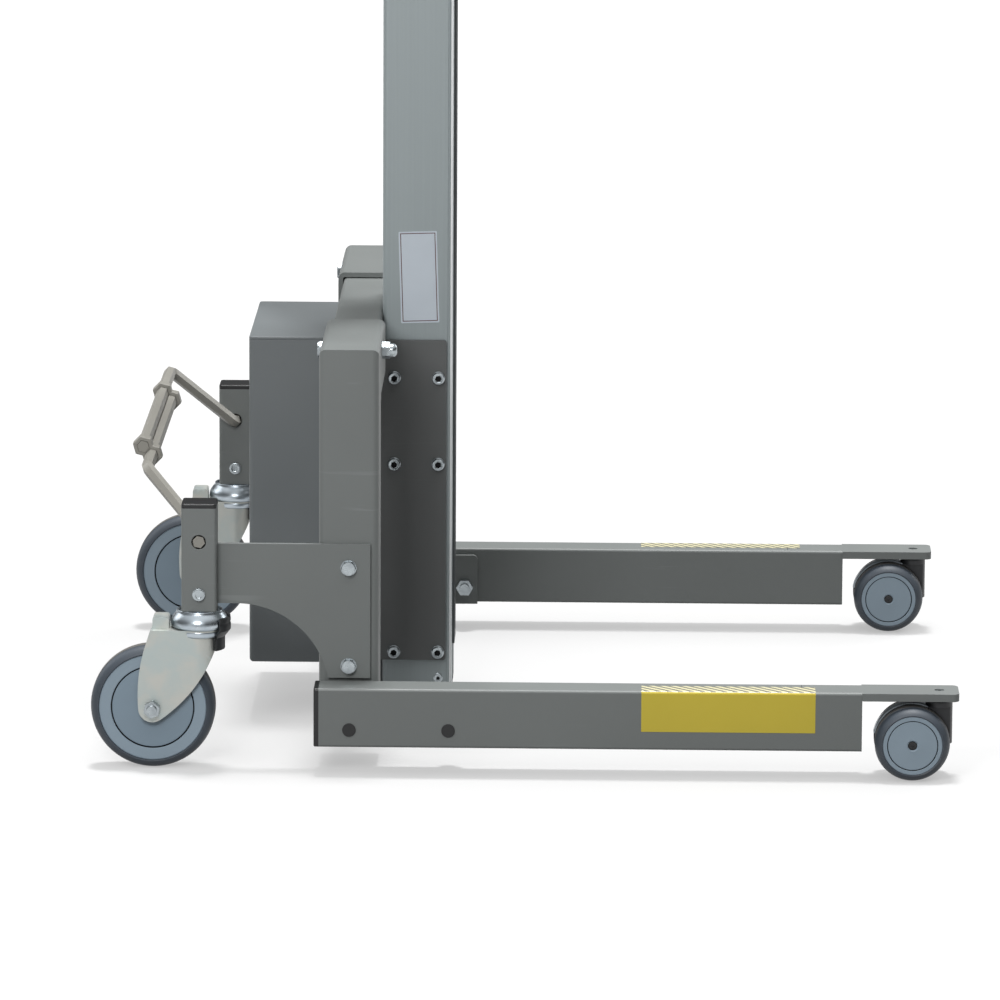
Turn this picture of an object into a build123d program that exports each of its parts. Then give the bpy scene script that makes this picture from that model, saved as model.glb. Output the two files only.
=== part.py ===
from build123d import *
import math
import os

# Lifting trolley with a straddle chassis of adjustable width, a mast with a belt-driven carriage,
# braked rear castors and twin-wheel front castors.
# Frame: +X forwards, +Y to the left, +Z up, origin on the floor under the middle of the overall box.
# All lengths are millimetres.

# Running and seating clearances
SLIDE_GAP = 1.0
SEAT_GAP = 0.3
WHEEL_FIT = 0.08
HOLE_GAP = 0.4

# Rear castors
REAR_WHEEL_D = 125.0
REAR_WHEEL_W = 32.0
REAR_HUB_D = 107.5
REAR_TRAIL = 46.8
REAR_STEM_X = -324.9
REAR_HEAD_D = 58.0
REAR_HEAD_H = 18.5
REAR_SPIGOT_D = 28.0
FORK_PLATE_T = 3.0
FORK_CROWN_T = 4.0
FORK_TIP_R = 14.0
FORK_WHEEL_GAP = 2.5
REAR_AXLE_D = 10.0
KINGPIN_D = 12.0
KINGPIN_L = 10.0
LOWER_RACE_D = 49.0
LOWER_RACE_H = 7.5
COVER_HALF_ANGLE = 47.0
COVER_BOTTOM_Z = 121.0

# Front twin-wheel castors
FRONT_WHEEL_D = 75.0
FRONT_WHEEL_W = 22.0
FRONT_HUB_D = 59.2
FRONT_TRAIL = 26.8
FRONT_STEM_X = 414.8
FRONT_STEM_D = 10.0
FRONT_BODY_W = 16.0
FRONT_AXLE_D = 8.0
FRONT_BOSS_D = 27.0
FRONT_SHOULDER = 11.5
FRONT_TREAD_W = 9.3

# Legs
LEG_W = 40.0
LEG_H = 60.0
LEG_WALL = 3.0
LEG_CORNER_R = 3.0
LEG_BOTTOM_Z = 28.7
LEG_REAR_X = -204.5
LEG_FRONT_X = 337.6
LEG_CAP_T = 5.0
NOSE_T = 8.0
NOSE_W = 44.0
NOSE_FRONT_X = 434.2
NOSE_TONGUE = 60.0
NOSE_CORNER_R = 7.0
PLUG_D = 12.0

# Side frames: sleeve over the cross beam, column and foot plate
TUBE_S = 60.0
SLEEVE_WALL = 5.0
COLUMN_WALL = 4.0
TUBE_CORNER_R = 7.0
TUBE_X = -176.0
SLEEVE_TOP_Z = 423.5
COLUMN_OUTER_Y = 335.5
SLEEVE_INNER_Y = 149.0
COLUMN_BOTTOM_Z = 18.0
FOOT_PLATE_T = 5.0
FOOT_FRONT_X = -61.0
BEAM_HALF = 300.0
BEAM_WALL = 4.0
BEAM_CORNER_R = 4.0
CLAMP_Y = 250.0
CLAMP_Z = 409.0
CLAMP_D = 10.0
BOLT_D = 8.0
LEG_BOLT_D = 10.0
ARM_BOLT_ZS = (103.5, 203.7)

# Castor arms
ARM_TUBE_S = 35.0
ARM_TUBE_WALL = 3.0
ARM_TUBE_BOTTOM_Z = 161.0
ARM_TUBE_TOP_Z = 266.0
ARM_CAP_T = 4.5
ARM_PLATE_T = 5.0
ARM_TOP_Z = 227.5
ARM_LOW_Z = 166.5
ARM_BOTTOM_Z = 91.0
ARM_FRONT_X = -154.3
ARM_CURVE_R = 93.0
BRAKE_Z = 231.8
BRAKE_HOLE_D = 14.5
PINCH_SCREW_Z = 179.0

# Brake bars
BAR_AF = 11.0
BAR_INNER_R = 80.5
BAR_SPACING = 12.4
BAR_ANGLE = 44.5
BAR_BEND_Y = 258.0
BAR_BEND_R = 14.0
BAR_STUB_END_Y = 357.0
BAR_END_RIGHT_Y = -188.0
BAR_END_LEFT_Y = 140.0
COLLAR_L = 15.0
COLLAR_WALL = 4.0
CAM_D = 24.0
CAM_W = 14.0

# Mast
MAST_W = 120.0
MAST_D = 72.0
MAST_WALL = 4.0
MAST_CORNER_R = 5.0
MAST_BOTTOM_Z = 16.0
MAST_TOP_Z = 1500.0
SLOT_W = 30.0
RAIL_W = 8.0
RAIL_T = 2.6
RAIL_BOTTOM_Z = 60.0
CAP_T = 14.0
MAST_FOOT_T = 4.0
MAST_FOOT_LIP_H = 40.0
MAST_GROOVE_X = -84.6
MAST_GROOVE_W = 0.9
SIDE_PLATE_T = 6.0
SIDE_PLATE_BOTTOM_Z = 51.0
SIDE_PLATE_TOP_Z = 387.7
SIDE_PLATE_FRONT_X = -85.8
PLATE_SCREW_XS = (-139.5, -94.0)
PLATE_SCREW_ZS = (59.8, 258.3, 348.7)
SCREW_D = 8.0
SCREW_HEAD_D = 12.6
SCREW_HEAD_H = 7.0
LOW_SCREW_D = 6.0
LOW_SCREW_X = -93.5
LOW_SCREW_Z = 31.0

# Battery box
BOX_W = 224.0
BOX_DEPTH = 87.2
BOX_BOTTOM_Z = 57.7
BOX_TOP_Z = 398.2
BOX_WALL = 2.0
BOX_EDGE_R = 4.0
LID_T = 3.0
LID_RIM_H = 10.0
# Depth, width and height of one battery and of the control unit
BATTERY = (65.0, 151.0, 95.0)
CONTROL_UNIT = (46.0, 160.0, 90.0)
COOLING_SLOTS = 7

# Lift drive and carriage
PULLEY_D = 40.0
PULLEY_W = 26.0
PULLEY_TEETH = 16
BELT_T = 3.0
BELT_W = 22.0
DRIVE_Z = 95.0
IDLER_DROP = 55.0
SHAFT_D = 12.0
MOTOR_D = 36.0
MOTOR_Y = 33.0
GEARCASE_HALF = (26.0, 30.0)
CARRIAGE_Z = 860.0
CARRIAGE_H = 130.0
CARRIAGE_W = 100.0
NECK_W = 22.0
TOOL_PLATE_W = 120.0
TOOL_PLATE_H = 160.0
TOOL_PLATE_T = 12.0
TOOL_PLATE_GAP = 9.0
TOOL_HOLES_Y = 80.0
TOOL_HOLES_Z = 120.0
TOOL_HOLE_D = 8.5

# Handle and controls
HANDLE_D = 28.0
HANDLE_WALL = 2.0
HANDLE_Z = 955.0
HANDLE_RISE = 60.0
HANDLE_HALF_W = 200.0
HANDLE_REACH = 185.0
HANDLE_FOOT_Y = 42.0
HANDLE_FOOT_L = 40.0
HANDLE_FLARE_L = 90.0
HANDLE_BEND_R = 34.0
GRIP_L = 120.0
GRIP_T = 4.0
CONTROL_RISE = 130.0
CONTROL_W = 110.0
CONTROL_H = 150.0
CONTROL_DEPTH = 58.0
CONTROL_SLOPE = 22.0
CONTROL_FOOT = 20.0
BUTTON_DEPTH = 12.0
BUTTON_TRAVEL = 3.0
# Distance to the left, height up the slope, and diameter of each button
BUTTONS = {
    "lift_button": (28.0, 92.0, 24.0),
    "lower_button": (28.0, 56.0, 24.0),
    "stop_button": (-24.0, 74.0, 22.0),
}

# Worked out from the sizes above
REAR_WHEEL_X = REAR_STEM_X - REAR_TRAIL
FRONT_WHEEL_X = FRONT_STEM_X - FRONT_TRAIL
REAR_R = REAR_WHEEL_D / 2
FRONT_R = FRONT_WHEEL_D / 2
LEG_INNER_Y = COLUMN_OUTER_Y + FOOT_PLATE_T
LEG_Y = LEG_INNER_Y + LEG_W / 2
LEG_TOP_Z = LEG_BOTTOM_Z + LEG_H
LEG_BOLT_Z = LEG_BOTTOM_Z + LEG_H * 0.3
LEG_BOLT_XS = (TUBE_X + 2, -75.0)
NOSE_TOP_Z = LEG_TOP_Z
REAR_Y = COLUMN_OUTER_Y + ARM_PLATE_T
SLEEVE_Z = SLEEVE_TOP_Z - TUBE_S / 2
SLEEVE_BOTTOM_Z = SLEEVE_TOP_Z - TUBE_S
BEAM_S = TUBE_S - 2 * SLEEVE_WALL - 2 * SLIDE_GAP
BEAM_REAR_X = TUBE_X - BEAM_S / 2
BEAM_FRONT_X = TUBE_X + BEAM_S / 2
COLUMN_Y = COLUMN_OUTER_Y - TUBE_S / 2
MAST_REAR_X = BEAM_FRONT_X
MAST_FRONT_X = MAST_REAR_X + MAST_D
MAST_X = MAST_REAR_X + MAST_D / 2
BOX_FRONT_X = BEAM_REAR_X
BOX_REAR_X = BOX_FRONT_X - BOX_DEPTH
BAR_OUTER_R = BAR_INNER_R + BAR_SPACING
FORK_HALF_W = REAR_WHEEL_W / 2 + FORK_WHEEL_GAP + FORK_PLATE_T
HEAD_BOTTOM_Z = ARM_TUBE_BOTTOM_Z - REAR_HEAD_H
FORK_TOP_Z = HEAD_BOTTOM_Z - SEAT_GAP
TWIN_INNER = FRONT_BODY_W / 2 + 0.7
TWIN_OUTER = TWIN_INNER + FRONT_WHEEL_W
PULLEY_R = PULLEY_D / 2
IDLER_Z = MAST_TOP_Z - IDLER_DROP
BLOCK_FRONT_X = MAST_FRONT_X - MAST_WALL - 4
BLOCK_REAR_X = MAST_X - PULLEY_R + 4
BELT_FRONT_X = MAST_X + PULLEY_R + SEAT_GAP
CARRIAGE_Z0 = CARRIAGE_Z - CARRIAGE_H / 2
CARRIAGE_Z1 = CARRIAGE_Z + CARRIAGE_H / 2
TOOL_PLATE_X = MAST_FRONT_X + TOOL_PLATE_GAP
HANDLE_REAR_X = MAST_REAR_X - HANDLE_REACH
HANDLE_REAR_Z = HANDLE_Z + HANDLE_RISE
CONTROL_Z = HANDLE_Z + CONTROL_RISE
CONTROL_FACE_X = MAST_REAR_X - CONTROL_DEPTH

PARTS = {}


def add(name, shape):
    """Keep a finished piece under its node name."""
    PARTS[name] = shape


def span(x0, x1, y0, y1, z0, z1):
    """Box between two corners."""
    centre = Pos((x0 + x1) / 2, (y0 + y1) / 2, (z0 + z1) / 2)
    return centre * Box(abs(x1 - x0), abs(y1 - y0), abs(z1 - z0))


def rod_y(x, z, y0, y1, radius):
    """Cylinder along Y."""
    return Pos(x, (y0 + y1) / 2, z) * Rot(90, 0, 0) * Cylinder(radius, abs(y1 - y0))


def rod_x(y, z, x0, x1, radius):
    """Cylinder along X."""
    return Pos((x0 + x1) / 2, y, z) * Rot(0, 90, 0) * Cylinder(radius, abs(x1 - x0))


def rod_z(x, y, z0, z1, radius):
    """Cylinder along Z."""
    return Pos(x, y, (z0 + z1) / 2) * Cylinder(radius, abs(z1 - z0))


def hex_prism(across_flats, length):
    """Hexagonal prism along Z, centred, with its flats the given distance apart."""
    return extrude(RegularPolygon(across_flats / math.sqrt(3), 6), amount=length / 2, both=True)


def section(width, height, corner, wall):
    """Hollow rectangular tube section with rounded outside and inside corners."""
    outer = RectangleRounded(width, height, corner)
    inner_corner = max(corner - wall, 0.6)
    return outer - RectangleRounded(width - 2 * wall, height - 2 * wall, inner_corner)


def tube_along(plane, width, height, corner, wall, length):
    """Rectangular tube that starts on a plane and runs along its normal."""
    return extrude(plane * section(width, height, corner, wall), amount=length)


def flat_plate(points, y0, y1):
    """Plate cut to a closed outline in X and Z, between two Y positions."""
    face = make_face(Plane.XZ * Polyline(*points, close=True))
    return Pos(0, y1, 0) * extrude(face, amount=y1 - y0, dir=(0, -1, 0))


def handed(build, side):
    """A right-hand piece, or its mirror image when the side is positive."""
    return build() if side < 0 else mirror(build(), about=Plane.XZ)


def both_sides(name, build):
    """Build a right-hand piece and its mirror image on the left."""
    add(name + "_right", handed(build, -1))
    add(name + "_left", handed(build, 1))


def group(solids):
    """Several separate solids that share one node."""
    return Compound(children=[s for item in solids for s in item.solids()])


# Fasteners. Each points along +Z with the underside of its head at z = 0 and its shank below.

def hex_bolt(shank_d, shank_l, across_flats, head_h):
    """Hexagon bolt with a chamfered head."""
    head = Pos(0, 0, head_h / 2) * hex_prism(across_flats, head_h)
    head &= Pos(0, 0, head_h / 2) * Cone(across_flats * 0.62, across_flats * 0.5, head_h)
    return head + Pos(0, 0, -shank_l / 2) * Cylinder(shank_d / 2, shank_l)


def socket_screw(shank_d, shank_l, head_d, head_h):
    """Socket head screw with a hexagon recess."""
    head = Pos(0, 0, head_h / 2) * Cylinder(head_d / 2, head_h)
    head = chamfer(head.edges().sort_by(Axis.Z)[-1], head_d * 0.05)
    recess = Pos(0, 0, head_h * 0.75) * hex_prism(head_d * 0.46, head_h * 0.5)
    return head - recess + Pos(0, 0, -shank_l / 2) * Cylinder(shank_d / 2, shank_l)


def washer(hole_d, outer_d, thickness):
    """Plain washer standing on z = 0."""
    ring = Cylinder(outer_d / 2, thickness) - Cylinder(hole_d / 2, thickness * 2)
    return Pos(0, 0, thickness / 2) * ring


def facing_right(x, y, z):
    """Placement that turns +Z into -Y, for a head on a right-hand outer face."""
    return Pos(x, y, z) * Rot(90, 0, 0)


def facing_left(x, y, z):
    """Placement that turns +Z into +Y."""
    return Pos(x, y, z) * Rot(-90, 0, 0)


# Cross beam and mast

def cross_beam():
    plane = Plane((TUBE_X, -BEAM_HALF, SLEEVE_Z), x_dir=(1, 0, 0), z_dir=(0, 1, 0))
    return tube_along(plane, BEAM_S, BEAM_S, BEAM_CORNER_R, BEAM_WALL, 2 * BEAM_HALF)


def mast_profile():
    outer = RectangleRounded(MAST_D, MAST_W, MAST_CORNER_R)
    hollow = RectangleRounded(MAST_D - 2 * MAST_WALL, MAST_W - 2 * MAST_WALL, 1.5)
    slot = Pos(MAST_D / 2, 0) * Rectangle(MAST_WALL * 4, SLOT_W)
    flat = Pos(MAST_X, 0, MAST_BOTTOM_Z) * (outer - hollow - slot)
    mast = extrude(flat, amount=MAST_TOP_Z - MAST_BOTTOM_Z)
    window = span(MAST_REAR_X - 1, MAST_REAR_X + MAST_WALL + 1,
                  MOTOR_Y - MOTOR_D / 2 - 3, MOTOR_Y + MOTOR_D / 2 + 3,
                  DRIVE_Z - MOTOR_D / 2 - 3, DRIVE_Z + MOTOR_D / 2 + 3)
    mast -= window
    mast -= rod_y(MAST_X, IDLER_Z, -MAST_W, MAST_W, SHAFT_D / 2 + WHEEL_FIT)
    for x in PLATE_SCREW_XS:
        for z in PLATE_SCREW_ZS:
            mast -= rod_y(x, z, -MAST_W, MAST_W, SCREW_D / 2 + HOLE_GAP)
    for side in (-1, 1):
        face = side * MAST_W / 2
        mast -= span(MAST_GROOVE_X - MAST_GROOVE_W / 2, MAST_GROOVE_X + MAST_GROOVE_W / 2,
                     face - side * MAST_GROOVE_W, face + side, MAST_BOTTOM_Z - 1, MAST_TOP_Z + 1)
    return mast - rod_y(LOW_SCREW_X, LOW_SCREW_Z, -MAST_W, MAST_W, LOW_SCREW_D / 2 + HOLE_GAP)


def guide_rails():
    rails = []
    for side in (-1, 1):
        inner = side * (SLOT_W / 2)
        outer = side * (SLOT_W / 2 + RAIL_W)
        rails.append(span(MAST_FRONT_X, MAST_FRONT_X + RAIL_T, inner, outer, RAIL_BOTTOM_Z, MAST_TOP_Z))
    stop = span(MAST_FRONT_X, MAST_FRONT_X + RAIL_T, -SLOT_W / 2, SLOT_W / 2,
                RAIL_BOTTOM_Z, RAIL_BOTTOM_Z + 8)
    joined = rails[0] + rails[1] + stop
    return joined


def mast_cap():
    plane = Pos(MAST_X, 0, MAST_TOP_Z)
    cap = extrude(plane * RectangleRounded(MAST_D + 4, MAST_W + 4, MAST_CORNER_R + 2), amount=CAP_T)
    cap = fillet(cap.faces().sort_by(Axis.Z)[-1].edges(), 4)
    plug = span(MAST_REAR_X + MAST_WALL + SEAT_GAP, MAST_FRONT_X - MAST_WALL - SEAT_GAP,
                -MAST_W / 2 + MAST_WALL + SEAT_GAP, MAST_W / 2 - MAST_WALL - SEAT_GAP,
                MAST_TOP_Z - 12, MAST_TOP_Z)
    plug = fillet(plug.edges().filter_by(Axis.Z), 2)
    return cap + plug


def mast_foot():
    """Plate under the mast with a lip turned up behind it."""
    base = Pos(MAST_X, 0, MAST_BOTTOM_Z - MAST_FOOT_T)
    plate = extrude(base * RectangleRounded(MAST_D, MAST_W, MAST_CORNER_R), amount=MAST_FOOT_T)
    lip = span(MAST_REAR_X - MAST_FOOT_T, MAST_REAR_X, -MAST_W / 2 + MAST_CORNER_R, MAST_W / 2 - MAST_CORNER_R,
               MAST_BOTTOM_Z - MAST_FOOT_T, MAST_BOTTOM_Z + MAST_FOOT_LIP_H)
    return plate + lip


def mast_plate():
    """Steel plate that ties the mast to the cross beam, notched under and before the beam."""
    beam_bottom = SLEEVE_Z - BEAM_S / 2
    outline = [
        (BEAM_REAR_X, SIDE_PLATE_BOTTOM_Z),
        (SIDE_PLATE_FRONT_X, SIDE_PLATE_BOTTOM_Z),
        (SIDE_PLATE_FRONT_X, SIDE_PLATE_TOP_Z),
        (BEAM_FRONT_X, SIDE_PLATE_TOP_Z),
        (BEAM_FRONT_X, beam_bottom),
        (BEAM_REAR_X, beam_bottom),
    ]
    plate = flat_plate(outline, -MAST_W / 2 - SIDE_PLATE_T, -MAST_W / 2)
    front = plate.edges().filter_by(Axis.Y).sort_by(Axis.X)[-2:]
    plate = fillet(front, 3)
    for x in PLATE_SCREW_XS:
        for z in PLATE_SCREW_ZS:
            plate -= rod_y(x, z, -MAST_W, 0, SCREW_D / 2 + HOLE_GAP)
    return plate


def mast_screws():
    """Socket screws of both side plates and the lowest pair in the bare mast."""
    screws = []
    face = MAST_W / 2 + SIDE_PLATE_T
    screw = socket_screw(SCREW_D, SIDE_PLATE_T + MAST_WALL - 0.5, SCREW_HEAD_D, SCREW_HEAD_H)
    for x in PLATE_SCREW_XS:
        for z in PLATE_SCREW_ZS:
            screws.append(facing_right(x, -face, z) * screw)
            screws.append(facing_left(x, face, z) * screw)
    low = socket_screw(LOW_SCREW_D, MAST_WALL - 0.5, LOW_SCREW_D * 1.5, 2.6)
    screws.append(facing_right(LOW_SCREW_X, -MAST_W / 2, LOW_SCREW_Z) * low)
    screws.append(facing_left(LOW_SCREW_X, MAST_W / 2, LOW_SCREW_Z) * low)
    return group(screws)


# Lift drive

def toothed_pulley(z, bore):
    """Belt pulley with trapezoid teeth and two flanges, turning about Y."""
    body = Cylinder(PULLEY_R, PULLEY_W - 4)
    gap = Pos(PULLEY_R, 0, 0) * Box(3.0, PULLEY_D * 0.085, PULLEY_W)
    for index in range(PULLEY_TEETH):
        body -= Rot(0, 0, index * 360 / PULLEY_TEETH) * gap
    for end in (-1, 1):
        body += Pos(0, 0, end * (PULLEY_W / 2 - 1)) * Cylinder(PULLEY_R + 1.0 + BELT_T, 2)
    body -= Cylinder(bore / 2 + WHEEL_FIT, PULLEY_W * 2)
    return Pos(MAST_X, 0, z) * Rot(90, 0, 0) * body


def drive_belt():
    """Closed toothed belt loop round both pulleys."""
    inner_r = PULLEY_R + SEAT_GAP
    outer_r = inner_r + BELT_T
    height = IDLER_Z - DRIVE_Z

    def loop(radius):
        ends = Pos(0, height / 2) * Circle(radius) + Pos(0, -height / 2) * Circle(radius)
        return ends + Rectangle(2 * radius, height)

    flat = loop(outer_r) - loop(inner_r)
    plane = Plane((MAST_X, BELT_W / 2, (IDLER_Z + DRIVE_Z) / 2), x_dir=(1, 0, 0), z_dir=(0, -1, 0))
    return extrude(plane * flat, amount=BELT_W)


def gear_motor():
    """Worm gearbox with its output shaft through the drive pulley and the motor behind it."""
    case_y0 = PULLEY_W / 2 + 3
    case_y1 = MAST_W / 2 - MAST_WALL - SEAT_GAP
    half_x, half_z = GEARCASE_HALF
    case = span(MAST_X - half_x, MAST_X + half_x, case_y0, case_y1, DRIVE_Z - half_z, DRIVE_Z + half_z)
    case = fillet(case.edges().filter_by(Axis.Y), 6)
    in_case_x = MAST_X - half_x + 6
    motor = rod_x(MOTOR_Y, DRIVE_Z, BEAM_REAR_X + 4, in_case_x, MOTOR_D / 2)
    motor = chamfer(motor.edges().sort_by(Axis.X)[0], 2)
    collar = rod_x(MOTOR_Y, DRIVE_Z, MAST_REAR_X + MAST_WALL + 2, in_case_x, MOTOR_D / 2 + 2)
    shaft = rod_y(MAST_X, DRIVE_Z, -MAST_W / 2 + MAST_WALL + SEAT_GAP, case_y0 + 2, SHAFT_D / 2)
    bearing = rod_y(MAST_X, DRIVE_Z, -MAST_W / 2 + MAST_WALL, -PULLEY_W / 2 - 3, 16)
    return case + motor + collar + shaft + bearing


def idler_axle():
    """Upper pulley axle, held in both mast walls with a head at each end."""
    axle = rod_y(MAST_X, IDLER_Z, -MAST_W / 2 - 3, MAST_W / 2 + 3, SHAFT_D / 2)
    for side in (-1, 1):
        axle += rod_y(MAST_X, IDLER_Z, side * MAST_W / 2, side * (MAST_W / 2 + 3), SHAFT_D / 2 + 3)
        inner = side * (PULLEY_W / 2 + 0.5)
        axle += rod_y(MAST_X, IDLER_Z, inner, side * (MAST_W / 2 - MAST_WALL), SHAFT_D / 2 + 3)
    return axle


# Carriage

def carriage_block():
    """Slider inside the mast, with a neck through the slot and a channel for the front belt run."""
    block = span(BLOCK_REAR_X, BLOCK_FRONT_X, -CARRIAGE_W / 2, CARRIAGE_W / 2, CARRIAGE_Z0, CARRIAGE_Z1)
    block = chamfer(block.edges().filter_by(Axis.Z), 2)
    neck = span(BLOCK_FRONT_X - 1, TOOL_PLATE_X, -NECK_W / 2, NECK_W / 2, CARRIAGE_Z0 + 8, CARRIAGE_Z1 - 8)
    channel = span(BELT_FRONT_X - SEAT_GAP, BELT_FRONT_X + BELT_T + SEAT_GAP,
                   -BELT_W / 2 - SEAT_GAP, BELT_W / 2 + SEAT_GAP, CARRIAGE_Z0 - 1, CARRIAGE_Z1 + 1)
    lightening = span(BLOCK_REAR_X - 1, BELT_FRONT_X - 8, -CARRIAGE_W / 2 + 18, CARRIAGE_W / 2 - 18,
                      CARRIAGE_Z0 + 30, CARRIAGE_Z1 - 30)
    body = block + neck - channel - lightening
    for dz in (-1, 1):
        body -= rod_x(0, CARRIAGE_Z + dz * CARRIAGE_H * 0.28, TOOL_PLATE_X - 14, TOOL_PLATE_X + 1,
                      SCREW_D / 2 + HOLE_GAP)
    return body


def guide_shoes():
    """Four plastic slide shoes that wrap the front corners of the slider."""
    wall_y = MAST_W / 2 - MAST_WALL - SEAT_GAP
    wall_x = MAST_FRONT_X - MAST_WALL - SEAT_GAP
    shoes = []
    for side in (-1, 1):
        for z0 in (CARRIAGE_Z0, CARRIAGE_Z1 - 36):
            side_pad = span(BLOCK_REAR_X + 4, wall_x, side * CARRIAGE_W / 2, side * wall_y, z0, z0 + 36)
            front_pad = span(BLOCK_FRONT_X, wall_x, side * (SLOT_W / 2 + 3), side * wall_y, z0, z0 + 36)
            shoe = side_pad + front_pad
            corner = shoe.edges().filter_by(Axis.Z).sort_by(Axis.X)[-2:]
            shoes.append(chamfer(corner, 2))
    return group(shoes)


def tool_plate():
    """Front plate of the carriage with the hole pattern for a lifting tool."""
    plane = Plane((TOOL_PLATE_X, 0, CARRIAGE_Z), x_dir=(0, 1, 0), z_dir=(1, 0, 0))
    plate = extrude(plane * RectangleRounded(TOOL_PLATE_W, TOOL_PLATE_H, 8), amount=TOOL_PLATE_T)
    for dy in (-1, 1):
        for dz in (-1, 1):
            y = dy * TOOL_HOLES_Y / 2
            z = CARRIAGE_Z + dz * TOOL_HOLES_Z / 2
            plate -= rod_x(y, z, TOOL_PLATE_X - 1, TOOL_PLATE_X + TOOL_PLATE_T + 1, TOOL_HOLE_D / 2)
    for dz in (-1, 1):
        z = CARRIAGE_Z + dz * CARRIAGE_H * 0.28
        plate -= rod_x(0, z, TOOL_PLATE_X - 1, TOOL_PLATE_X + TOOL_PLATE_T + 1, SCREW_D / 2 + HOLE_GAP)
        plate -= rod_x(0, z, TOOL_PLATE_X + TOOL_PLATE_T - 8, TOOL_PLATE_X + TOOL_PLATE_T + 1, 7.2)
    return plate


def carriage_screws():
    screws = []
    for dz in (-1, 1):
        place = Pos(TOOL_PLATE_X + TOOL_PLATE_T - 8, 0, CARRIAGE_Z + dz * CARRIAGE_H * 0.28)
        screws.append(place * Rot(0, 90, 0) * socket_screw(SCREW_D, 16, 13, 8))
    return group(screws)


# Battery box

def battery_box():
    """Open-topped sheet housing behind the cross beam."""
    x_mid = (BOX_FRONT_X + BOX_REAR_X) / 2
    height = BOX_TOP_Z - LID_T - BOX_BOTTOM_Z
    base = Pos(x_mid, 0, BOX_BOTTOM_Z)
    outer = extrude(base * Rectangle(BOX_DEPTH, BOX_W), amount=height)
    rear = outer.edges().filter_by(Axis.Z).group_by(Axis.X)[0]
    rear_low = outer.edges().filter_by(Axis.Y).group_by(Axis.Z)[0].sort_by(Axis.X)[0]
    outer = fillet([*rear, rear_low], BOX_EDGE_R)
    inner_base = Pos(x_mid, 0, BOX_BOTTOM_Z + BOX_WALL)
    inner = extrude(inner_base * Rectangle(BOX_DEPTH - 2 * BOX_WALL, BOX_W - 2 * BOX_WALL), amount=height)
    inner_rear = inner.edges().filter_by(Axis.Z).group_by(Axis.X)[0]
    return outer - fillet(inner_rear, BOX_EDGE_R - BOX_WALL)


def battery_lid():
    """Flat lid with a turned-down rim that locates inside the housing."""
    x_mid = (BOX_FRONT_X + BOX_REAR_X) / 2
    top = extrude(Pos(x_mid, 0, BOX_TOP_Z - LID_T) * Rectangle(BOX_DEPTH, BOX_W), amount=LID_T)
    top = fillet(top.edges().filter_by(Axis.Z).group_by(Axis.X)[0], BOX_EDGE_R)
    top = fillet(top.faces().sort_by(Axis.Z)[-1].edges(), 1)
    rim_x = BOX_DEPTH - 2 * BOX_WALL - 2 * SLIDE_GAP
    rim_y = BOX_W - 2 * BOX_WALL - 2 * SLIDE_GAP
    ring = RectangleRounded(rim_x, rim_y, 3) - RectangleRounded(rim_x - 2 * BOX_WALL, rim_y - 2 * BOX_WALL, 2)
    return top + extrude(Pos(x_mid, 0, BOX_TOP_Z - LID_T - LID_RIM_H) * ring, amount=LID_RIM_H)


def battery_pack():
    """Two sealed batteries, one above the other, on the floor of the housing."""
    depth, width, height = BATTERY
    x0 = BOX_REAR_X + BOX_WALL + 6
    cells = []
    for level in range(2):
        z0 = BOX_BOTTOM_Z + BOX_WALL + level * (height + SEAT_GAP)
        cell = span(x0, x0 + depth, -width / 2, width / 2, z0, z0 + height)
        cells.append(cell)
    return group(cells)


def control_unit():
    """Motor controller and charger on the front wall inside the housing."""
    depth, width, height = CONTROL_UNIT
    x1 = BOX_FRONT_X - BOX_WALL
    z0 = BOX_TOP_Z - LID_RIM_H - 12 - height
    case = span(x1 - depth, x1, -width / 2, width / 2, z0, z0 + height)
    pitch = width / COOLING_SLOTS
    for index in range(COOLING_SLOTS):
        y = pitch * (index + 0.5) - width / 2
        case -= span(x1 - depth - 1, x1 - depth + 6, y - pitch / 4, y + pitch / 4, z0 - 1, z0 + height + 1)
    return case


# Handle and controls

def handle_bar():
    """Bent push bar with a mounting plate on the back of the mast."""
    plate = span(MAST_REAR_X - 6, MAST_REAR_X, -MAST_W / 2, MAST_W / 2, HANDLE_Z - 30, HANDLE_Z + 30)
    plate = fillet(plate.edges().filter_by(Axis.X), 6)
    start_x = MAST_REAR_X - 5
    half = HANDLE_HALF_W
    side_z = HANDLE_Z + HANDLE_RISE * 0.35
    points = [
        (start_x, HANDLE_FOOT_Y, HANDLE_Z),
        (start_x - HANDLE_FOOT_L, HANDLE_FOOT_Y, HANDLE_Z),
        (start_x - HANDLE_FLARE_L, half, side_z),
        (HANDLE_REAR_X, half, HANDLE_REAR_Z),
        (HANDLE_REAR_X, -half, HANDLE_REAR_Z),
        (start_x - HANDLE_FLARE_L, -half, side_z),
        (start_x - HANDLE_FOOT_L, -HANDLE_FOOT_Y, HANDLE_Z),
        (start_x, -HANDLE_FOOT_Y, HANDLE_Z),
    ]
    path = FilletPolyline(*points, radius=HANDLE_BEND_R)
    start = Plane(origin=path @ 0, z_dir=path % 0)
    ring = Circle(HANDLE_D / 2) - Circle(HANDLE_D / 2 - HANDLE_WALL)
    return plate + sweep(start * ring, path=path)


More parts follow.
